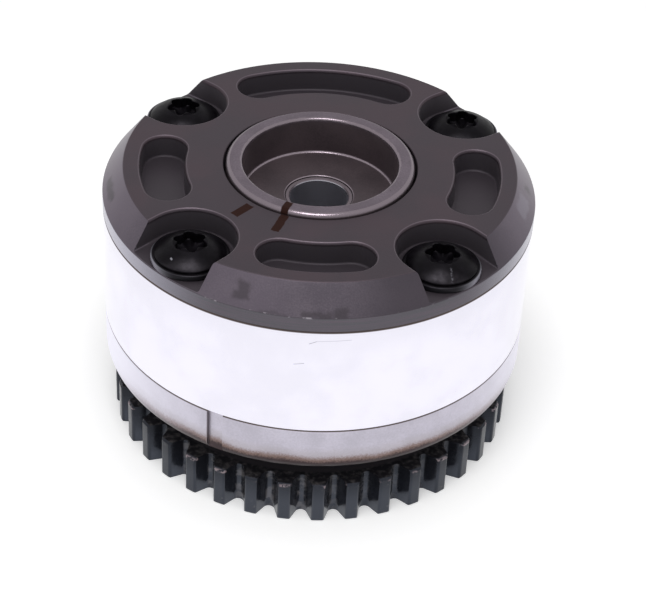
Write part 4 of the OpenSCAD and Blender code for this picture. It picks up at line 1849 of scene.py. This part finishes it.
    def build(self) -> bpy.types.Object:
        """Builds one bolt, repeats it on its pitch circle, dresses and seats the set.

        Returns:
            The seated piece.
        """
        s = self.stack
        bolt = Shells().skin(self.head_rings()).built("bolt")
        tree = Pattern("bolt_set")
        angle = self.angles(tree)
        radius = tree.take("Pitch radius", "Float", s.bolt_pcr * MM)
        x = tree.math("MULTIPLY", radius, tree.math("SINE", angle))
        y = tree.math("MULTIPLY", radius, tree.math("MULTIPLY", tree.math("COSINE", angle), -1.0))
        spot = tree.vector(x, y, tree.take("Seat height", "Float", s.seat_z * MM))
        points = tree.add("GeometryNodeSetPosition", tree.points(len(s.lobes)), None, spot).outputs[0]
        turn = tree.math("ADD", angle, self.clocking(tree))
        bolts = tree.repeated(points, tree.shape("Bolt", bolt), turn)
        axes = [tuple(at(theta, s.bolt_pcr, 0).xy / MM) for theta in s.lobes]
        coat = BoltFinish(
            axes=axes, recess_r=self.recess_r, rim_r=self.flange_r, crown_z=s.seat_z + self.head_h).material()
        piece = tree.run(tree.painted(bolts, tree.take("Finish", "Material", coat)), [bolt])
        piece.name = "cover_bolt_set"
        softened(piece, self.crease)
        seated(piece, Body.HOUSING, Slot.BOLTS, "cover_bolts")
        return piece


@dataclass
class Rotor:
    """Hub with its ring, cup, bore and journal, and four vanes.

    Attributes:
        ring_proud: Height of the ring above the cover.
        sink_w: Width of the step round the bore.
        lip_in: How far its rounded lip lies inside that width.
        vane_root: How far a vane reaches into the hub.
        wide_seal: Angle from the wide vane's middle to its seal.
        oil_pcr: Radius on which the oil risers and the dowel stand.
        port_turn: Angle from a vane's side to its oil passage.
        ports: Side of the vane and share of its height, for each of its passages.
    """

    stack: Stack
    ring_r: float = 21.75
    ring_proud: float = 0.85
    ring_round: float = 1.2
    cup_r: float = 17.9
    cup_depth: float = 9.45
    cup_round: float = 0.6
    cup_bevel: float = 0.65
    bore_r: float = 6.75
    sink_w: float = 1.2
    sink_depth: float = 0.7
    lip_in: float = 0.1
    journal_r: float = 19.97
    journal_len: float = 10.8
    journal_bevel: float = 0.7
    pilot_r: float = 14.0
    pilot_depth: float = 5.0
    vane_r: float = 43.2
    vane_root: float = 1.75
    wide_seal: float = 15.0
    seal_r: float = 39.0
    slot_w: float = 2.0
    oil_r: float = 1.6
    oil_pcr: float = 10.5
    oil_facets: int = 32
    port_turn: float = 4.03
    ports: tuple[Pair, Pair] = ((-1.0, 0.25), (1.0, 0.75))
    dowel_at: float = 135.0
    dowel_r: float = 2.55
    dowel_depth: float = 6.0
    crease: float = 34.0

    @property
    def ring_z(self) -> float:
        """Height of the ring's face."""
        return self.stack.cover_z + self.ring_proud

    @property
    def cup_z(self) -> float:
        """Height of the cup's floor."""
        return self.ring_z - self.cup_depth

    @property
    def pilot_z(self) -> float:
        """Height of the seat at the end of the pilot bore."""
        return self.stack.plate_z - self.journal_len + self.pilot_depth

    @property
    def lip_r(self) -> float:
        """Radius of the step round the bore."""
        return self.bore_r + self.sink_w - self.lip_in

    @property
    def ends(self) -> Pair:
        """Heights of the vanes' lower and upper faces."""
        return self.stack.plate_z + self.stack.end_clear, self.stack.housing_z - self.stack.end_clear

    def core(self) -> bpy.types.Object:
        """Builds the turned hub.

        Returns:
            The hub, without vanes and passages.
        """
        low, high = self.ends
        rear, bevel, hub_r = self.stack.plate_z - self.journal_len, self.journal_bevel, self.stack.hub_r
        line = [(self.bore_r, self.pilot_z), (self.pilot_r, self.pilot_z), (self.pilot_r, rear)]
        line += [(self.journal_r - bevel, rear), (self.journal_r, rear + bevel), (self.journal_r, low)]
        line += [(hub_r, low), (hub_r, high), (self.ring_r, high)]
        line += arc(self.ring_r - self.ring_round, self.ring_z - self.ring_round, self.ring_round, 0, 90, 8)
        line += arc(self.cup_r + self.cup_bevel, self.ring_z - self.cup_bevel, self.cup_bevel, 90, 180, 6)
        line += arc(self.cup_r - self.cup_round, self.cup_z + self.cup_round, self.cup_round, 0, -90, 8)
        lip = self.sink_depth / 2
        line += arc(self.lip_r + lip, self.cup_z - lip, lip, 90, 180, 6)
        line.append((self.bore_r + self.sink_w / 4, self.cup_z - lip))
        line.append((self.bore_r, self.cup_z - self.sink_depth))
        return Shells().revolve(line).built("rotor_hub")

    def oil_tools(self) -> list[bpy.types.Object]:
        """Lists the cutters of the oil passages: one riser and one outlet on each side of a vane.

        Returns:
            Risers in one object and outlets in another.
        """
        low, high = self.ends
        bends = [math.tau * k / self.oil_facets for k in range(self.oil_facets)]
        rise = Vector((0, 0, MM))
        ends = (self.oil_pcr, self.stack.hub_r + OVER)
        risers, outlets = Shells(), Shells()
        for theta, width in self.stack.vanes:
            for side, share in self.ports:
                t = theta + side * (width / 2 + self.port_turn)
                z = low + (high - low) * share
                risers.drum(t, self.oil_pcr, self.oil_r, self.pilot_z - OVER, z)
                across = at(t + 90, 1, 0)
                rim = [self.oil_r * (across * math.cos(b) + rise * math.sin(b)) for b in bends]
                outlets.skin([[at(t, r, z) + p for p in rim] for r in ends])
        return [risers.built("risers"), outlets.built("outlets")]

    def build(self) -> bpy.types.Object:
        """Builds, dresses and seats the rotor.

        Returns:
            The seated piece.
        """
        s = self.stack
        low, high = self.ends
        piece = self.core()
        vanes, slots = Shells(), Shells()
        for theta, width in s.vanes:
            vanes.sector(theta, width / 2, s.hub_r - self.vane_root, self.vane_r, low, high)
            seal_at = theta + (self.wide_seal if theta == s.pin_at else 0.0)
            slots.block(seal_at, self.seal_r, self.vane_r + 2 * OVER, self.slot_w, low - OVER, high + OVER)
        blended(piece, [vanes.built("vanes")], Blend.ADD)
        dowel = Shells().drum(
            self.dowel_at, self.oil_pcr, self.dowel_r, self.pilot_z - OVER, self.pilot_z + self.dowel_depth)
        pin_bore = Shells().drum(s.pin_at, s.pin_pcr, s.sleeve_r, low - OVER, high + OVER)
        tools = [slots.built("slots"), *self.oil_tools(), dowel.built("dowel"), pin_bore.built("pin_bore")]
        blended(piece, tools, Blend.CUT)
        finish = RotorFinish(
            ring_z=self.ring_z, cup_r=self.cup_r, bore_r=self.bore_r, lip_r=self.lip_r, floor_z=self.cup_z)
        dressed(piece, finish.material())
        softened(piece, self.crease)
        seated(piece, Body.ROTOR, Slot.SINTERED, "rotor")
        return piece


@dataclass
class InnerPieces:
    """Seals, springs and lock pin pieces, which keep their CAD shapes."""

    nodes: dict[str, bpy.types.Object]
    seal: Finish = SealFinish()
    spring: Finish = SteelFinish(name="spring_steel", colour=srgb(196, 197, 202), polish=0.22)
    hard: Finish = SteelFinish(name="hardened_steel", colour=srgb(178, 179, 184), polish=0.3)

    def build(self) -> None:
        """Dresses each inner node."""
        seal, spring, hard = (finish.material() for finish in (self.seal, self.spring, self.hard))
        for name, node in self.nodes.items():
            if node.hide_render:
                continue
            finish = seal if "seal" in name else spring if "spring" in name else hard
            dressed(node, finish)
            log.info("%s: %s", name, finish.name)


@dataclass
class Studio:
    """Camera, white sweep and one soft lamp.

    Attributes:
        eye: Where the camera stands.
        pan: Turn of the camera to the right of +Y.
        pitch: Angle of its view below level.
        roll: Turn of the picture about the view.
        focal_px: Focal length in pixels of the frame.
        frame_px: Width of the frame in pixels.
        sensor: Width of the sensor.
        sky: Strength of the surround as a light.
        glow: The floor's own light, as rays from the eye and from metal see it.
        pale: Grey level of the floor.
        floor_half: Half the floor's edge.
        lamp_at: Where the lamp hangs.
        lamp_aim: Where it points.
        lamp_size: Its edge.
        lamp_watts: Its power.
    """

    eye: tuple[float, float, float] = (0.0, -394.488, 329.467)
    pan: float = 0.3122
    pitch: float = 37.4261
    roll: float = 2.8864
    focal_px: float = 2060.12
    frame_px: float = 646.0
    sensor: float = 36.0
    sky: float = 0.5
    glow: float = 0.34
    pale: float = 0.9
    floor_half: float = 4000.0
    lamp_at: tuple[float, float, float] = (-60.0, -300.0, 920.0)
    lamp_aim: tuple[float, float, float] = (0.0, 0.0, 50.0)
    lamp_size: float = 360.0
    lamp_watts: float = 3.4

    def camera(self) -> None:
        """Places the camera at the photograph's viewpoint."""
        pan, pitch, roll = (math.radians(a) for a in (self.pan, self.pitch, self.roll))
        ahead = Vector((math.sin(pan) * math.cos(pitch), math.cos(pan) * math.cos(pitch), -math.sin(pitch)))
        level = Vector((math.cos(pan), -math.sin(pan), 0))
        up = level.cross(ahead)
        right = math.cos(roll) * level + math.sin(roll) * up
        over = -math.sin(roll) * level + math.cos(roll) * up
        data = bpy.data.cameras.new("camera")
        data.sensor_width = self.sensor
        data.lens = self.focal_px / self.frame_px * self.sensor
        data.clip_start = 0.01
        camera = placed("camera", data)
        turn = Matrix((right, over, -ahead)).transposed().to_4x4()
        camera.matrix_world = Matrix.Translation(Vector(self.eye) * MM) @ turn
        bpy.context.scene.camera = camera

    def seen_or_lit(self, tree: bpy.types.NodeTree, lit: float, seen: float) -> Socket:
        """Gives one strength to rays from the eye, from metal and through glass, and another to the rest.

        Args:
            tree: Node tree of a material or a world.
            lit: Strength for rays that only carry light.
            seen: Strength for rays that are seen.

        Returns:
            The strength.
        """
        path = tree.nodes.new("ShaderNodeLightPath")
        share = path.outputs["Is Camera Ray"]
        for name in ("Is Glossy Ray", "Is Transmission Ray"):
            pick = tree.nodes.new("ShaderNodeMath")
            pick.operation = "MAXIMUM"
            tree.links.new(share, pick.inputs[0])
            tree.links.new(path.outputs[name], pick.inputs[1])
            share = pick.outputs[0]
        level = tree.nodes.new("ShaderNodeMapRange")
        tree.links.new(share, level.inputs["Value"])
        level.inputs["To Min"].default_value = lit
        level.inputs["To Max"].default_value = seen
        return level.outputs[0]

    def world(self) -> None:
        """Makes an even white surround."""
        world = bpy.data.worlds.new("surround")
        bpy.context.scene.world = world
        world.use_nodes = True
        tree = world.node_tree
        sky = tree.nodes["Background"]
        sky.inputs["Color"].default_value = (1.0, 1.0, 1.0, 1.0)
        tree.links.new(self.seen_or_lit(tree, self.sky, 1.0), sky.inputs["Strength"])

    def floor(self) -> None:
        """Lays a pale floor that keeps a soft shadow."""
        half = self.floor_half * MM
        mesh = bpy.data.meshes.new("floor")
        corners = [(x * half, y * half, 0) for x, y in ((-1, -1), (1, -1), (1, 1), (-1, 1))]
        mesh.from_pydata(corners, [], [(0, 1, 2, 3)])
        floor = placed("floor", mesh)
        finish = bpy.data.materials.new("pale_floor")
        finish.use_nodes = True
        tree = finish.node_tree
        surface = tree.nodes["Principled BSDF"]
        surface.inputs["Base Color"].default_value = (self.pale, self.pale, self.pale, 1.0)
        surface.inputs["Roughness"].default_value = 0.9
        surface.inputs["Specular IOR Level"].default_value = 0.0
        surface.inputs["Emission Color"].default_value = (1.0, 1.0, 1.0, 1.0)
        tree.links.new(self.seen_or_lit(tree, 0.0, self.glow), surface.inputs["Emission Strength"])
        mesh.materials.append(finish)

    def lamp(self) -> None:
        """Hangs a square soft lamp, aimed at the part."""
        data = bpy.data.lights.new("softbox", "AREA")
        data.shape = "SQUARE"
        data.size = self.lamp_size * MM
        data.energy = self.lamp_watts
        lamp = placed("softbox", data)
        spot, aim = Vector(self.lamp_at) * MM, Vector(self.lamp_aim) * MM
        lamp.location = spot
        lamp.rotation_euler = (aim - spot).to_track_quat("-Z", "Y").to_euler()

    def build(self) -> None:
        """Sets up the whole studio."""
        self.camera()
        self.world()
        self.floor()
        self.lamp()
        bpy.context.scene.view_settings.view_transform = "Standard"


def main() -> None:
    """Builds the phaser piece by piece, then the studio round it."""
    logging.basicConfig(level=logging.INFO, format="%(message)s")
    stack = Stack()
    for assembly in (Sprocket(stack), VaneHousing(stack), FrontCover(stack), CoverBolts(stack), Rotor(stack)):
        assembly.build()
    InnerPieces(frame["nodes"]).build()
    Studio().build()


if __name__ == "__main__":
    main()
